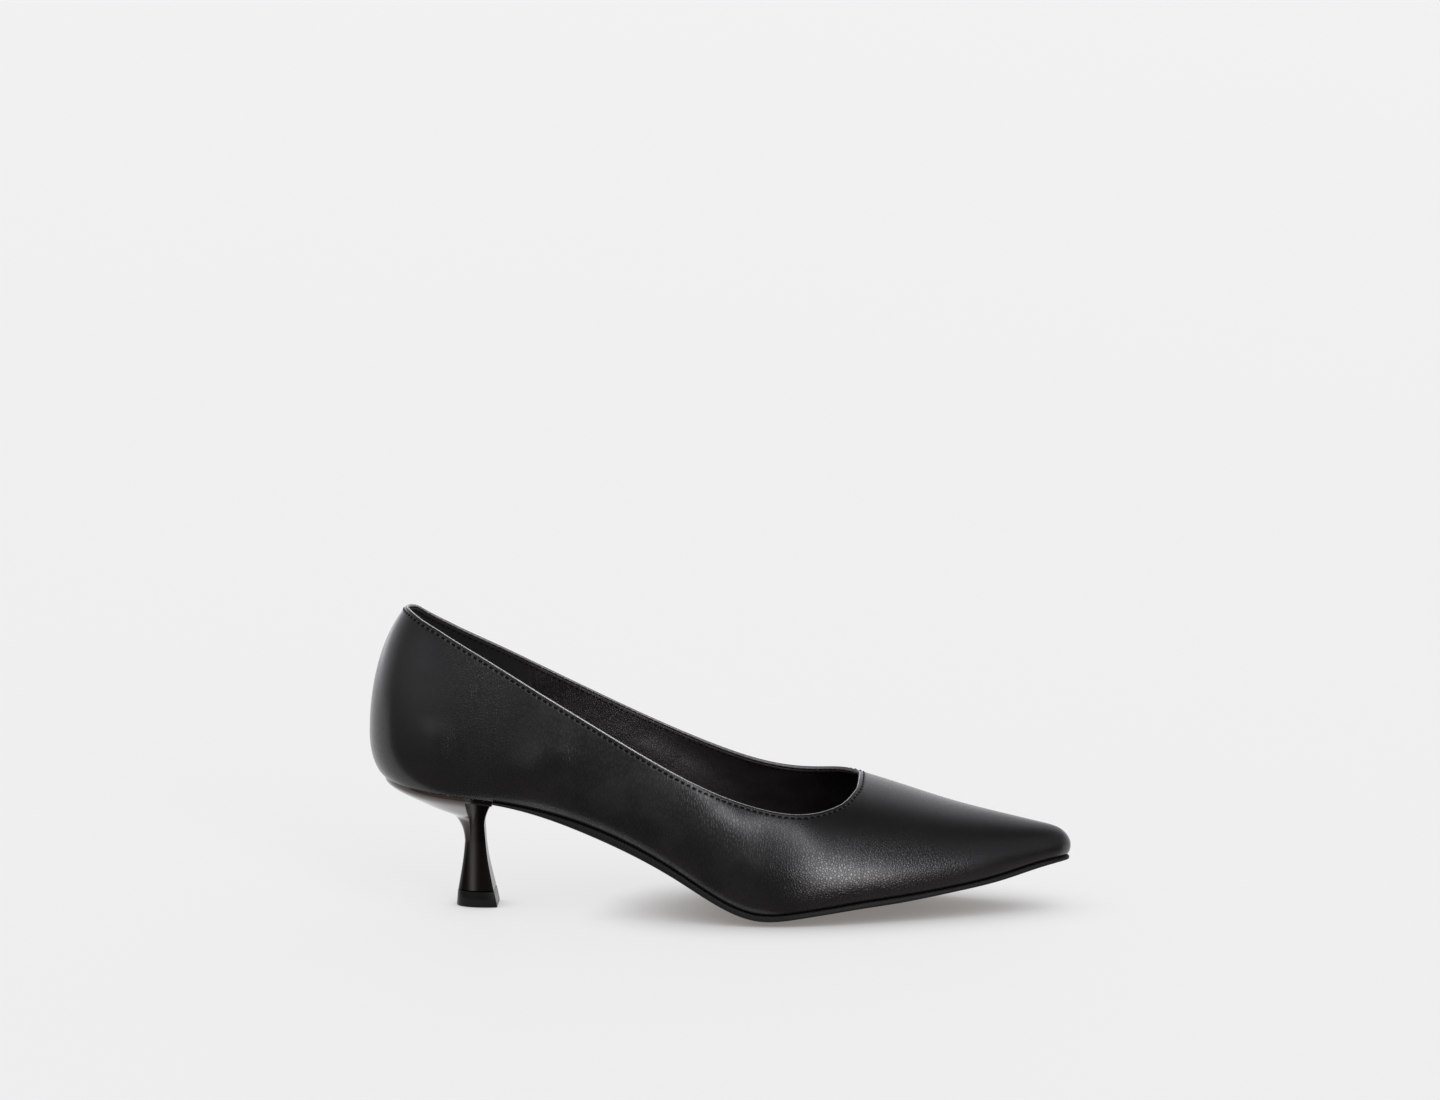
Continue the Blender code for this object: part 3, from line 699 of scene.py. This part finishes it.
def lining_finish():
    """Lining: plain and matt behind the seam at the heel, and grained ahead of it with cloudy streaks of
    gloss and of painted sheen, a lighter colour that stands in for light, that fall to the toe."""
    material, shader, wire = new_material("lining", LINING_VAMP, 0.5)
    place, station, _, height = shoe_places(wire)
    ahead = station.step(LINING_SEAM - SEAM_SOFT, LINING_SEAM + SEAM_SOFT)
    cloud = noise(wire, stretched(wire, place, (0.4, 1.0, 1.0)), size_mm=8.0, detail=3.0)
    grain = pebbles(wire, place, size_mm=0.8)
    fine = noise(wire, place, size_mm=0.35, detail=3.0, roughness=0.6)
    level = height + (station - LENGTH / 2) * STREAK_FALL
    streaks = sum(level.hump(streak.height, streak.width) * station.hump(streak.station, streak.length)
                  for streak in STREAKS)
    sheen = (0.14 + streaks * 0.86) * (0.25 + cloud.step(0.36, 0.58) * 0.75)
    grained = grain * 0.06 + cloud * 0.15
    plain = 0.3 + fine * 0.03
    link_bump(shader, ahead * grained + (1.0 - ahead) * plain + fine * 0.01)
    link(shader, "Roughness", 0.72 - ahead * 0.34 + cloud * 0.12)
    link(shader, "Coat Weight", ahead * grain * sheen)
    shader.inputs["Coat Roughness"].default_value = 0.3
    # painted sheen: the lining's base colour is lighter in the streaks
    lining_painted_sheen = (sheen * (0.35 + grain * 0.65)).mix(LINING_VAMP, LINING_PAINTED_SHEEN)
    link(shader, "Base Color", ahead.mix(LINING_HEEL, lining_painted_sheen))
    return material


def sock_finish():
    """Insole cover: soft dark faux leather with a fine matt grain."""
    material, shader, wire = new_material("insole_cover", SOCK_DARK, 0.6)
    place = shoe_places(wire)[0]
    grain = pebbles(wire, place, size_mm=0.75)
    cloud = noise(wire, place, size_mm=12.0)
    fine = noise(wire, place, size_mm=0.4, detail=3.0)
    link_bump(shader, grain * 0.025 + fine * 0.02)
    link(shader, "Roughness", 0.52 + cloud * 0.14)
    link(shader, "Base Color", cloud.mix(SOCK_DARK, SOCK_LIGHT))
    return material


def thread_finish():
    """Black sewing thread with its twist."""
    material, shader, wire = new_material("stitch_thread", THREAD, 0.8)
    place = shoe_places(wire)[0]
    twist = noise(wire, stretched(wire, place, (1.0, 1.0, 0.4)), size_mm=0.16, detail=1.0)
    link_bump(shader, twist * 0.03)
    link(shader, "Roughness", 0.7 + twist * 0.2)
    shader.inputs["Specular IOR Level"].default_value = 0.1
    return material


def sole_finish():
    """Outsole: smooth painted edge, and a matt tread with a fine crepe underneath."""
    material, shader, wire = new_material("sole_edge", SOLE_PAINT, 0.35)
    place = shoe_places(wire)[0]
    facing = wire.node("ShaderNodeNewGeometry", output="Normal")
    down = axes(wire, facing)[2].step(-0.6, -0.9)
    crepe = pebbles(wire, place, size_mm=1.1)
    fine = noise(wire, place, size_mm=0.3, detail=3.0)
    cloud = noise(wire, place, size_mm=10.0)
    link_bump(shader, down * crepe * 0.06 + fine * 0.012)
    link(shader, "Roughness", 0.55 + down * 0.2 + cloud * 0.1)
    link(shader, "Base Color", down.mix(SOLE_PAINT, SOLE_TREAD))
    shader.inputs["Specular IOR Level"].default_value = 0.25
    return material


def lacquer_finish():
    """Heel: polished black plastic with the faint unevenness of a moulding. The cup is lacquered and
    painted a little brown as a painted reflection of the floor, and a strip of gloss and paler painted
    sheen runs down the stem where its side turns to its back."""
    material, shader, wire = new_material("heel_lacquer", HEEL_DEEP, 0.07)
    place, station, _, height = shoe_places(wire)
    cup = height.step(*CUP_HEIGHTS) * station.step(*CUP_STATIONS)
    corner = station.hump(CORNER_STATION, CORNER_WIDE) * 0.8
    uneven = noise(wire, place, size_mm=5.0, detail=1.0)
    cloud = noise(wire, place, size_mm=8.0)
    link_bump(shader, uneven * 0.02)
    link(shader, "Roughness", 0.1 + cloud * 0.05)
    link(shader, "Coat Weight", (cup + corner).math("MINIMUM", 1.0))
    # painted reflection of the floor on the cup, and a strip of painted sheen down the stem
    link(shader, "Base Color", corner.mix(cup.mix(HEEL_DEEP, HEEL_CUP_PAINTED_REFLECTION), HEEL_PAINTED_SHEEN))
    shader.inputs["Coat Roughness"].default_value = 0.14
    shader.inputs["Specular IOR Level"].default_value = 0.12
    shader.inputs["Specular Tint"].default_value = (1.0, 0.88, 0.82, 1.0)
    return material


def tip_finish():
    """Heel tip: half-gloss hard rubber."""
    material, shader, wire = new_material("tip_rubber", TIP_RUBBER, 0.3)
    place = shoe_places(wire)[0]
    fine = noise(wire, place, size_mm=0.4, detail=3.0)
    uneven = noise(wire, place, size_mm=3.0)
    link_bump(shader, fine * 0.01 + uneven * 0.015)
    link(shader, "Roughness", 0.2 + fine * 0.1)
    shader.inputs["Specular IOR Level"].default_value = 0.18
    return material


def open_sky(wire, distance_mm):
    """Share of a spot's surroundings that nothing closer than a distance covers."""
    inputs = {"Distance": distance_mm * MM}
    return wire.node("ShaderNodeAmbientOcclusion", {"samples": 8}, inputs, output="AO")


def floor_finish():
    """Pale floor that glows, with painted shadow: its glow darkens where a piece stands close to it."""
    material, shader, wire = new_material("pale_floor", (0.22, 0.22, 0.22), 0.7)
    # painted shadow: the floor's glow darkens where a piece covers its surroundings, faintly further off
    # and strongly close under it
    glow_and_faint_shade = open_sky(wire, SHADE_WIDE).step(0.2, 1.0).mix(FLOOR_GLOW_FAINT_SHADE, FLOOR_GLOW)
    shaded = open_sky(wire, SHADE_CLOSE).step(0.0, 1.0).mix(FLOOR_SHADE, glow_and_faint_shade)
    link(shader, "Emission Color", shaded)
    shader.inputs["Emission Strength"].default_value = 1.0
    shader.inputs["Specular IOR Level"].default_value = 0.1
    return material


def relief(points, normals):
    """Height of the soft hollows and swells of the outer side: for each one a bell across its line,
    flattened along it, and fading out where the surface stops facing that side."""
    facing = smooth_step(0.2, 0.7, -normals[..., 1])
    height = np.zeros(points.shape[:-1])
    for crease in CREASES:
        along_x, along_z = cos(radians(crease.slope)), sin(radians(crease.slope))
        off_x = points[..., 0] - crease.station
        off_z = points[..., 2] - crease.height
        along = (off_x * along_x + off_z * along_z) / crease.length
        across = (off_z * along_x - off_x * along_z) / crease.width
        height -= crease.depth * np.exp(-across ** 2 - along ** 4)
    return height * facing


Wall = namedtuple("Wall", "points faces fold edge edge_out edge_up")


def wall_shell(inset, near, far, collar_ribs, vamp_ribs, band, steps, roll_steps=11, relief_of=None):
    """Closed wall between two depths under the outside of the last.

    Ribs climb to the topline, and its edge is rolled over as a half round. Columns follow the edge at the
    distances in band, then run on evenly to the bulge and to the feather edge. fold is the share of the
    roll at each point. Also returns the line where the roll starts with its outward and upward directions.
    """
    throat = topline_places(inset)[-1]
    outer = np.concatenate([throat * end_spacing(collar_ribs),
                            throat + (HALF - throat) * toe_spacing(vamp_ribs)[1:]])
    place = np.concatenate([outer, ROUND - outer[-2:0:-1]])[:, None]
    top = top_climb(place, inset)
    tilt = 0.01
    speed = np.linalg.norm(last_point(place, top) - last_point(place, top - tilt), axis=-1) / tilt * top
    band = 1 - np.array(band)[None, ::-1] / speed
    above = band[:, :1] * np.linspace(0.0, 1.0, steps, endpoint=False)[None, :]
    below = np.repeat(np.linspace(-1.0, 0.0, steps // 3, endpoint=False)[None, :], len(place), axis=0)
    sweep = np.concatenate([below, above, band], axis=1)
    climb = np.where(sweep < 0, sweep * (pi / 2 - FEATHER_CURL), sweep * top)
    points = last_point(place, climb)
    normals = last_normal(place, climb)
    mirror = (len(place) - np.arange(len(place))) % len(place)
    on_vamp = slice(collar_ribs, len(place) - collar_ribs + 1)
    normals[on_vamp, -1] = unit(normals + normals[mirror])[on_vamp, -1]
    lift = relief_of(points, normals)[..., None] if relief_of else 0.0
    outside = points + normals * (lift - near)
    inside = points + normals * (lift - far)
    rim = np.concatenate([np.arange(collar_ribs + 1), np.arange(len(place) - collar_ribs + 1, len(place))])
    edge = outside[rim, -1]
    edge_out = normals[rim, -1]
    edge_along = unit(np.roll(edge, -1, axis=0) - np.roll(edge, 1, axis=0))
    edge_up = unit(np.cross(edge_out, edge_along))
    share = np.linspace(0.0, 1.0, roll_steps)
    turn = (share * pi)[None, :, None]
    rolled = np.sin(turn) * edge_up[:, None] - (1 - np.cos(turn)) * edge_out[:, None]
    roll = edge[:, None] + (far - near) / 2 * rolled
    foot = np.stack([inside[:, 0], outside[:, 0]], axis=1)
    grids = [Grid(part, True) for part in (outside, roll, inside[:, ::-1], foot)]
    points, faces = join_grids(*grids)
    fold = np.concatenate([np.zeros(outside.size // 3), np.tile(share, len(rim)),
                           np.ones((inside.size + foot.size) // 3)])
    return Wall(points, faces, fold, edge, edge_out, edge_up)


def edge_marks(points, edge):
    """Distance of points from the collar's edge, and the count of stitches up to the nearest spot on it.

    Each point is dropped on every straight piece of the edge, and the nearest piece counts.
    """
    ends = np.roll(edge, -1, axis=0) - edge
    lengths = np.linalg.norm(ends, axis=1)
    start = np.append(0.0, np.cumsum(lengths))
    stitches = round(start[-1] / STITCH_PITCH)
    far = np.empty(len(points))
    count = np.empty(len(points))
    blocks = 12
    for block in np.array_split(np.arange(len(points)), blocks):
        off = points[block, None] - edge[None]
        share = np.clip((off * ends[None]).sum(axis=-1) / lengths ** 2, 0.0, 1.0)
        gap = np.linalg.norm(off - share[..., None] * ends[None], axis=-1)
        best = gap.argmin(axis=1)
        row = np.arange(len(block))
        far[block] = gap[row, best]
        count[block] = (start[best] + share[row, best] * lengths[best]) / start[-1] * stitches
    return {"below_edge": far, "stitch_count": count}


def add_upper():
    """Upper: the outer skin with its folded collar, and the lining inside it."""
    near_edge = np.concatenate([np.arange(0.0, 3.0, 0.3), [3.4, 4.0]])
    skin = wall_shell(inset=SKIN / 2, near=0.0, far=SKIN, collar_ribs=120, vamp_ribs=64,
                      band=near_edge, steps=36, relief_of=relief)
    marks = {**edge_marks(skin.points, skin.edge), "fold": skin.fold}
    upper = put_piece("upper_skin", skin.points, skin.faces, leather_finish(),
                      marks=marks, sharp=radians(55.0))
    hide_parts("upper")
    inner = wall_shell(inset=LINING_DROP, near=SKIN + LAYER_GAP, far=WALL, collar_ribs=80, vamp_ribs=40,
                       band=(0.0, 0.4, 0.9, 1.5), steps=24)
    put_piece("lining", inner.points, inner.faces, lining_finish())
    return skin


def add_stitches(skin):
    """Stitches of the collar, outside and inside: short arched threads one behind the other.

    Each is a tube along its length that thins to its ends and dips into the leather there.
    """
    edge = np.concatenate([skin.edge, skin.edge[:1]])
    reach = np.append(0.0, np.cumsum(np.linalg.norm(np.diff(edge, axis=0), axis=1)))
    count = round(reach[-1] / STITCH_PITCH)
    at = (np.arange(count) + 0.5) / count * reach[-1]

    def along_edge(values):
        """Values on the edge read at every stitch."""
        closed = np.concatenate([values, values[:1]])
        return np.stack([np.interp(at, reach, closed[:, axis]) for axis in range(3)], axis=-1)

    middle = along_edge(skin.edge)
    out = unit(along_edge(skin.edge_out))
    up = unit(along_edge(skin.edge_up))
    ahead = np.cross(up, out)
    ring_count, side_count = 7, 6
    run = np.linspace(-1.0, 1.0, ring_count)
    turn = np.linspace(0.0, 2 * pi, side_count, endpoint=False)
    thick = STITCH_THICK / 2 * np.sqrt(1 - run ** 2)
    arch = STITCH_ARCH - STITCH_DIP * run ** 4
    row = middle - up * (STITCH_DOWN - SKIN / 2)
    ring = out[:, None] * np.cos(turn)[None, :, None] + up[:, None] * np.sin(turn)[None, :, None]
    one = grid_faces(ring_count, side_count, wrap_columns=True)
    starts = np.arange(count) * ring_count * side_count
    faces = (starts[:, None, None] + one[None]).reshape(-1, 4)
    material = thread_finish()
    for name, depth, side in (("collar_stitches", 0.0, 1.0), ("lining_stitches", WALL - STITCH_SINK, -1.0)):
        base = row - out * depth
        centre = base[:, None] + ahead[:, None] * (run * STITCH_LONG / 2)[None, :, None]
        centre = centre + side * out[:, None] * arch[None, :, None]
        tubes = centre[:, :, None] + ring[:, None] * thick[None, :, None, None]
        put_piece(name, tubes.reshape(-1, 3), faces, material)


def slab_rings(places, across, edge, crown=0.0):
    """Rings of a slab on the footbed: over its top, down the inner edge, back under, up the outer one.

    edge lists how far out and how high the edge lies, from its top to its underside. crown swells the top.
    """
    (top_proud, top_rise), *middle, (low_proud, low_rise) = edge
    side = np.ones((1, 1))
    top = footbed(places, across, top_proud, top_rise + crown * (1 - across ** 4))
    inner = [footbed(places, side, proud, rise) for proud, rise in middle]
    under = footbed(places, -across, low_proud, low_rise)
    outer = [footbed(places, -side, proud, rise) for proud, rise in reversed(middle)]
    return np.concatenate([top, *inner, under, *outer], axis=1)


def add_insole():
    """Insole: a crowned pad with a rolled edge that runs out as a thin lip close to the lining."""
    row_count, column_count = 120, 41
    places = (HALF * end_spacing(row_count))[:, None]
    across = np.linspace(-1.0, 1.0, column_count)[None, :]
    edge = [(-row.inset, row.rise) for row in PAD_EDGE]
    crown = INSOLE_CROWN * np.sin(pi * places / HALF) ** 0.5
    rings = slab_rings(places, across, edge, crown)
    points, faces = join_grids(Grid(rings, False, True))
    pad = put_piece("insole_pad", points, faces, sock_finish())
    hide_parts("insole")


def add_outsole():
    """Outsole: a slab from the heel breast to the toe with rounded edges, cut flat under the ball."""
    row_count, columns = 150, 49
    start = place_at(BREAST_STATION + BREAST_GAP)
    places = (start + (HALF - start) * toe_spacing(row_count))[:, None]
    across = np.linspace(-1.0, 1.0, columns)[None, :]
    thick = both_sides("sole", places)
    edge = [(row.proud, -SEAT_GAP - thick * row.depth) for row in SOLE_EDGE]
    rings = slab_rings(places, across, edge)
    rings[..., 2] = np.maximum(rings[..., 2], 0.0)
    side = len(SOLE_EDGE) - 2
    middle = (rings[0, :columns] + rings[0, columns + side:2 * columns + side][::-1]) / 2
    end = np.concatenate([middle, np.repeat(middle[-1:], side, axis=0),
                          middle[::-1], np.repeat(middle[:1], side, axis=0)])
    points, faces = join_grids(Grid(np.concatenate([end[None], rings]), False, True))
    sole = put_piece("sole", points, faces, sole_finish(), sharp=radians(50.0))
    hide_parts("outsole")


def d_rings(turn, across, heights, back, front, half_width):
    """Rings of a D, one a height: round from the outer front corner by the back to the inner one, then
    straight along the front.

    turn runs from -1 to 1 round the back, and across from 1 to -1 along the front between corners.
    """
    angle = turn * D_TURN
    round_deep = (np.cos(angle) - cos(D_TURN)) / (1 - cos(D_TURN))
    round_wide = np.sign(turn) * np.abs(np.sin(angle)) ** D_FLANK
    deep = np.append(round_deep.clip(0.0) ** D_BACK, np.zeros(len(across)))
    wide = np.append(round_wide, across * round_wide[-1])
    x = front[:, None] - (front - back)[:, None] * deep
    y = HEEL_SIDE + half_width[:, None] * wide
    return np.stack(np.broadcast_arrays(x, y, heights[:, None]), axis=-1)


def stem_rings(table, heights, turn, across):
    """D rings at heights between the rows of a stem's table, read off splines."""
    rows = table[::-1]
    knots = column(rows, "height")
    sizes = [spline(knots, column(rows, name), heights) for name in ("back", "front", "half_width")]
    return d_rings(turn, across, heights, *sizes)


def closed_end(ring):
    """Ring shrunk to its middle, which closes a stack of rings."""
    return np.broadcast_to(ring.mean(axis=0), ring.shape)[None]


def add_heel():
    """Heel: a cup under the seat that sweeps in to a neck, and a D-shaped stem that flares again.

    The cup ends in a wall. Ahead of it the seat runs on to the breast as a thin plate over the stem. Rings
    go from the seat's rim to the neck by shares of the way along, across and down.
    """
    cup_count, plate_count, across_count = 40, 14, 25
    plate_steps, cup_steps, stem_steps = 6, 50, 40
    breast = place_at(BREAST_STATION)
    wall = place_at(CUP_END)
    rows = np.concatenate([wall * end_spacing(cup_count), np.linspace(wall, breast, plate_count + 1)[1:]])
    across = np.linspace(-1.0, 1.0, across_count)
    seat = footbed(rows[:, None], across[None, :], -HEEL_TUCK, -SEAT_GAP)
    ring_row = np.concatenate([np.arange(cup_count + 1), np.arange(cup_count, len(rows))])
    ahead = np.concatenate([np.zeros(cup_count + 1), np.linspace(0.0, 1.0, plate_count + 1)])
    on_plate = np.concatenate([np.zeros(cup_count + 1), np.ones(plate_count + 1)])
    turn = CUP_END_TURN * np.minimum(rows[ring_row] / wall, 1) + (1 - CUP_END_TURN) * ahead
    front = across[-2:0:-1]
    rim = np.concatenate([seat[ring_row[:0:-1], 0], seat[ring_row, -1], seat[-1, -2:0:-1]])
    ring_turn = np.concatenate([-turn[:0:-1], turn])
    heights = np.linspace(HEEL_STEM[0].height, HEEL_STEM[-1].height, stem_steps)
    stem = stem_rings(HEEL_STEM, heights, ring_turn, front)
    ahead = np.concatenate([ahead[:0:-1], ahead, np.ones(len(front))])[None, :]
    on_plate = np.concatenate([on_plate[:0:-1], on_plate, np.ones(len(front))])[None, :]
    plate_down = np.linspace(0.0, PLATE_TOP, plate_steps)
    down = np.append(plate_down, np.linspace(PLATE_LOW, 1.0, cup_steps))[:, None]
    steps = column(HEEL_CUP, "down")
    back_in = spline(steps, column(HEEL_CUP, "back"), down)
    breast_in = spline(steps, column(HEEL_CUP, "breast"), down)
    along = back_in + (breast_in - back_in) * ahead
    inward = back_in + (1 - back_in) * on_plate * (down > PLATE_TOP)
    moved = np.stack(np.broadcast_arrays(along, inward, down), axis=-1)
    cup = rim + (stem[0] - rim) * moved
    rings = np.concatenate([cup, stem[1:], closed_end(stem[-1])])
    points, faces = join_grids(Grid(rings, False, True), Grid(seat))
    heel = put_piece("heel_block", points, faces, lacquer_finish(), sharp=radians(38.0))
    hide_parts("heel")


def add_heel_tip():
    """Heel tip: a D that flares a little to the floor, with rounded edges."""
    round_count, front_count = 97, 17
    turn = np.linspace(-1.0, 1.0, round_count)
    across = np.linspace(1.0, -1.0, front_count)[1:-1]
    sizes = [column(HEEL_TIP, name) for name in ("height", "back", "front", "half_width")]
    rings = d_rings(turn, across, *sizes)
    rings = np.concatenate([closed_end(rings[0]), rings, closed_end(rings[-1])])
    points, faces = join_grids(Grid(rings, False, True))
    tip = put_piece("heel_top_piece", points, faces, tip_finish(), sharp=radians(50.0))
    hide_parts("heel_tip")


def add_floor():
    """Floor far larger than the view, in two sheets that meet at the floor line. The one before the shoe is
    not mirrored by it, as if a dark card lay there."""
    near, turn_x, tip_x, tip_y = (value * MM for value in FLOOR_LINE)
    far = FLOOR_REACH
    line = [(-far, near, 0), (turn_x, near, 0), (tip_x, tip_y, 0), (far, tip_y, 0)]
    material = floor_finish()
    sheets = (("floor_front", [(far, -far, 0), (-far, -far, 0)], (5, 4, 3, 2, 1, 0)),
              ("floor_back", [(far, far, 0), (-far, far, 0)], (0, 1, 2, 3, 4, 5)))
    for name, corners, order in sheets:
        mesh = bpy.data.meshes.new(name)
        mesh.from_pydata(line + corners, [], [order])
        mesh.materials.append(material)
        floor = bpy.data.objects.new(name, mesh)
        floor.visible_glossy = name == "floor_back"
        bpy.context.scene.collection.objects.link(floor)


def glow(turn, rise, lamp):
    """Round soft light: a bell over the turn times one over the rise, at its strength."""
    return turn.hump(lamp.turn, lamp.turn_width) * rise.hump(lamp.rise, lamp.rise_width) * lamp.strength


def add_light():
    """Studio light by direction.

    The key is a tall soft box on the toe's side of the camera that leans a little with height and is
    brightest low down. A weak fill shines on the heel's side, one rim light stands low behind the heel and
    a wider one behind the toe. There is a pale backdrop behind the shoe, and room and ground are dim.
    """
    world = bpy.data.worlds.new("studio")
    world.use_nodes = True
    tree = world.node_tree
    wire = Wire(tree)
    x, y, z = axes(wire, wire.node("ShaderNodeTexCoord", output="Generated"))
    rise = z.math("ARCSINE") * DEGREES
    front_turn = x.math("ARCTAN2", y * -1.0) * DEGREES
    back_turn = x.math("ARCTAN2", y) * DEGREES
    leaning = front_turn + rise.math("MINIMUM", KEY_LEAN_TOP) * KEY_LEAN
    key_width = leaning.step(*KEY_HEEL_SIDE) * leaning.step(*KEY_TOE_SIDE)
    key = key_width * rise.step(*KEY_FOOT) * rise.step(*KEY_TOP)
    low_key = key * rise.hump(*LOW_KEY_RISE) * front_turn.step(*LOW_KEY_TOE_SIDE)
    soft = glow(front_turn, rise, FILL) + glow(back_turn, rise, HEEL_RIM) + glow(back_turn, rise, TOE_RIM)
    backdrop = y.step(*BACKDROP_DEPTH) * rise.step(*BACKDROP_FOOT) * rise.step(*BACKDROP_TOP)
    room = rise.step(*ROOM_FOOT) * rise.step(*ROOM_TOP)
    toe_ground = front_turn.step(*GROUND_TOE_SIDE) * GROUND_TOE_STRENGTH
    ground = rise.step(*GROUND_TOP) * (GROUND_STRENGTH + toe_ground)
    strength = (DARK_STRENGTH + room * ROOM_STRENGTH + key * KEY_STRENGTH + low_key * LOW_KEY_STRENGTH
                + soft + backdrop * BACKDROP_STRENGTH + ground)
    tint = rise.step(*WARM_RISE).mix(LIGHT_COOL, LIGHT_WARM)
    background = tree.nodes["Background"]
    link(background, "Color", tint)
    link(background, "Strength", strength)
    bpy.context.scene.world = world
    bpy.context.scene.view_settings.view_transform = "Standard"


def add_camera():
    """Camera at the photograph's place, turned so that the shoe lies in its frame as in the photograph."""
    level = Vector((sin(CAMERA_TURN), -cos(CAMERA_TURN), 0.0))
    away = level * cos(CAMERA_RISE) + Vector((0.0, 0.0, sin(CAMERA_RISE)))
    right = Vector((cos(CAMERA_TURN), sin(CAMERA_TURN), 0.0))
    up = away.cross(right)
    aside = right * (FRAME_WIDTH / 2 - AIM_PIXEL_X) + up * (AIM_PIXEL_Y - FRAME_HEIGHT / 2)
    look = aside - away * FOCAL_PIXELS
    data = bpy.data.cameras.new("camera")
    data.sensor_width = SENSOR_WIDTH
    data.lens = FOCAL_PIXELS / FRAME_WIDTH * SENSOR_WIDTH
    camera = bpy.data.objects.new("camera", data)
    camera.location = Vector((0.0, 0.0, AIM_HEIGHT * MM)) + away * (CAMERA_DISTANCE * MM)
    camera.rotation_mode = "QUATERNION"
    camera.rotation_quaternion = look.to_track_quat("-Z", "Y")
    bpy.context.scene.collection.objects.link(camera)
    bpy.context.scene.camera = camera


add_camera()
add_light()
add_floor()
add_stitches(add_upper())
add_insole()
add_outsole()
add_heel()
add_heel_tip()
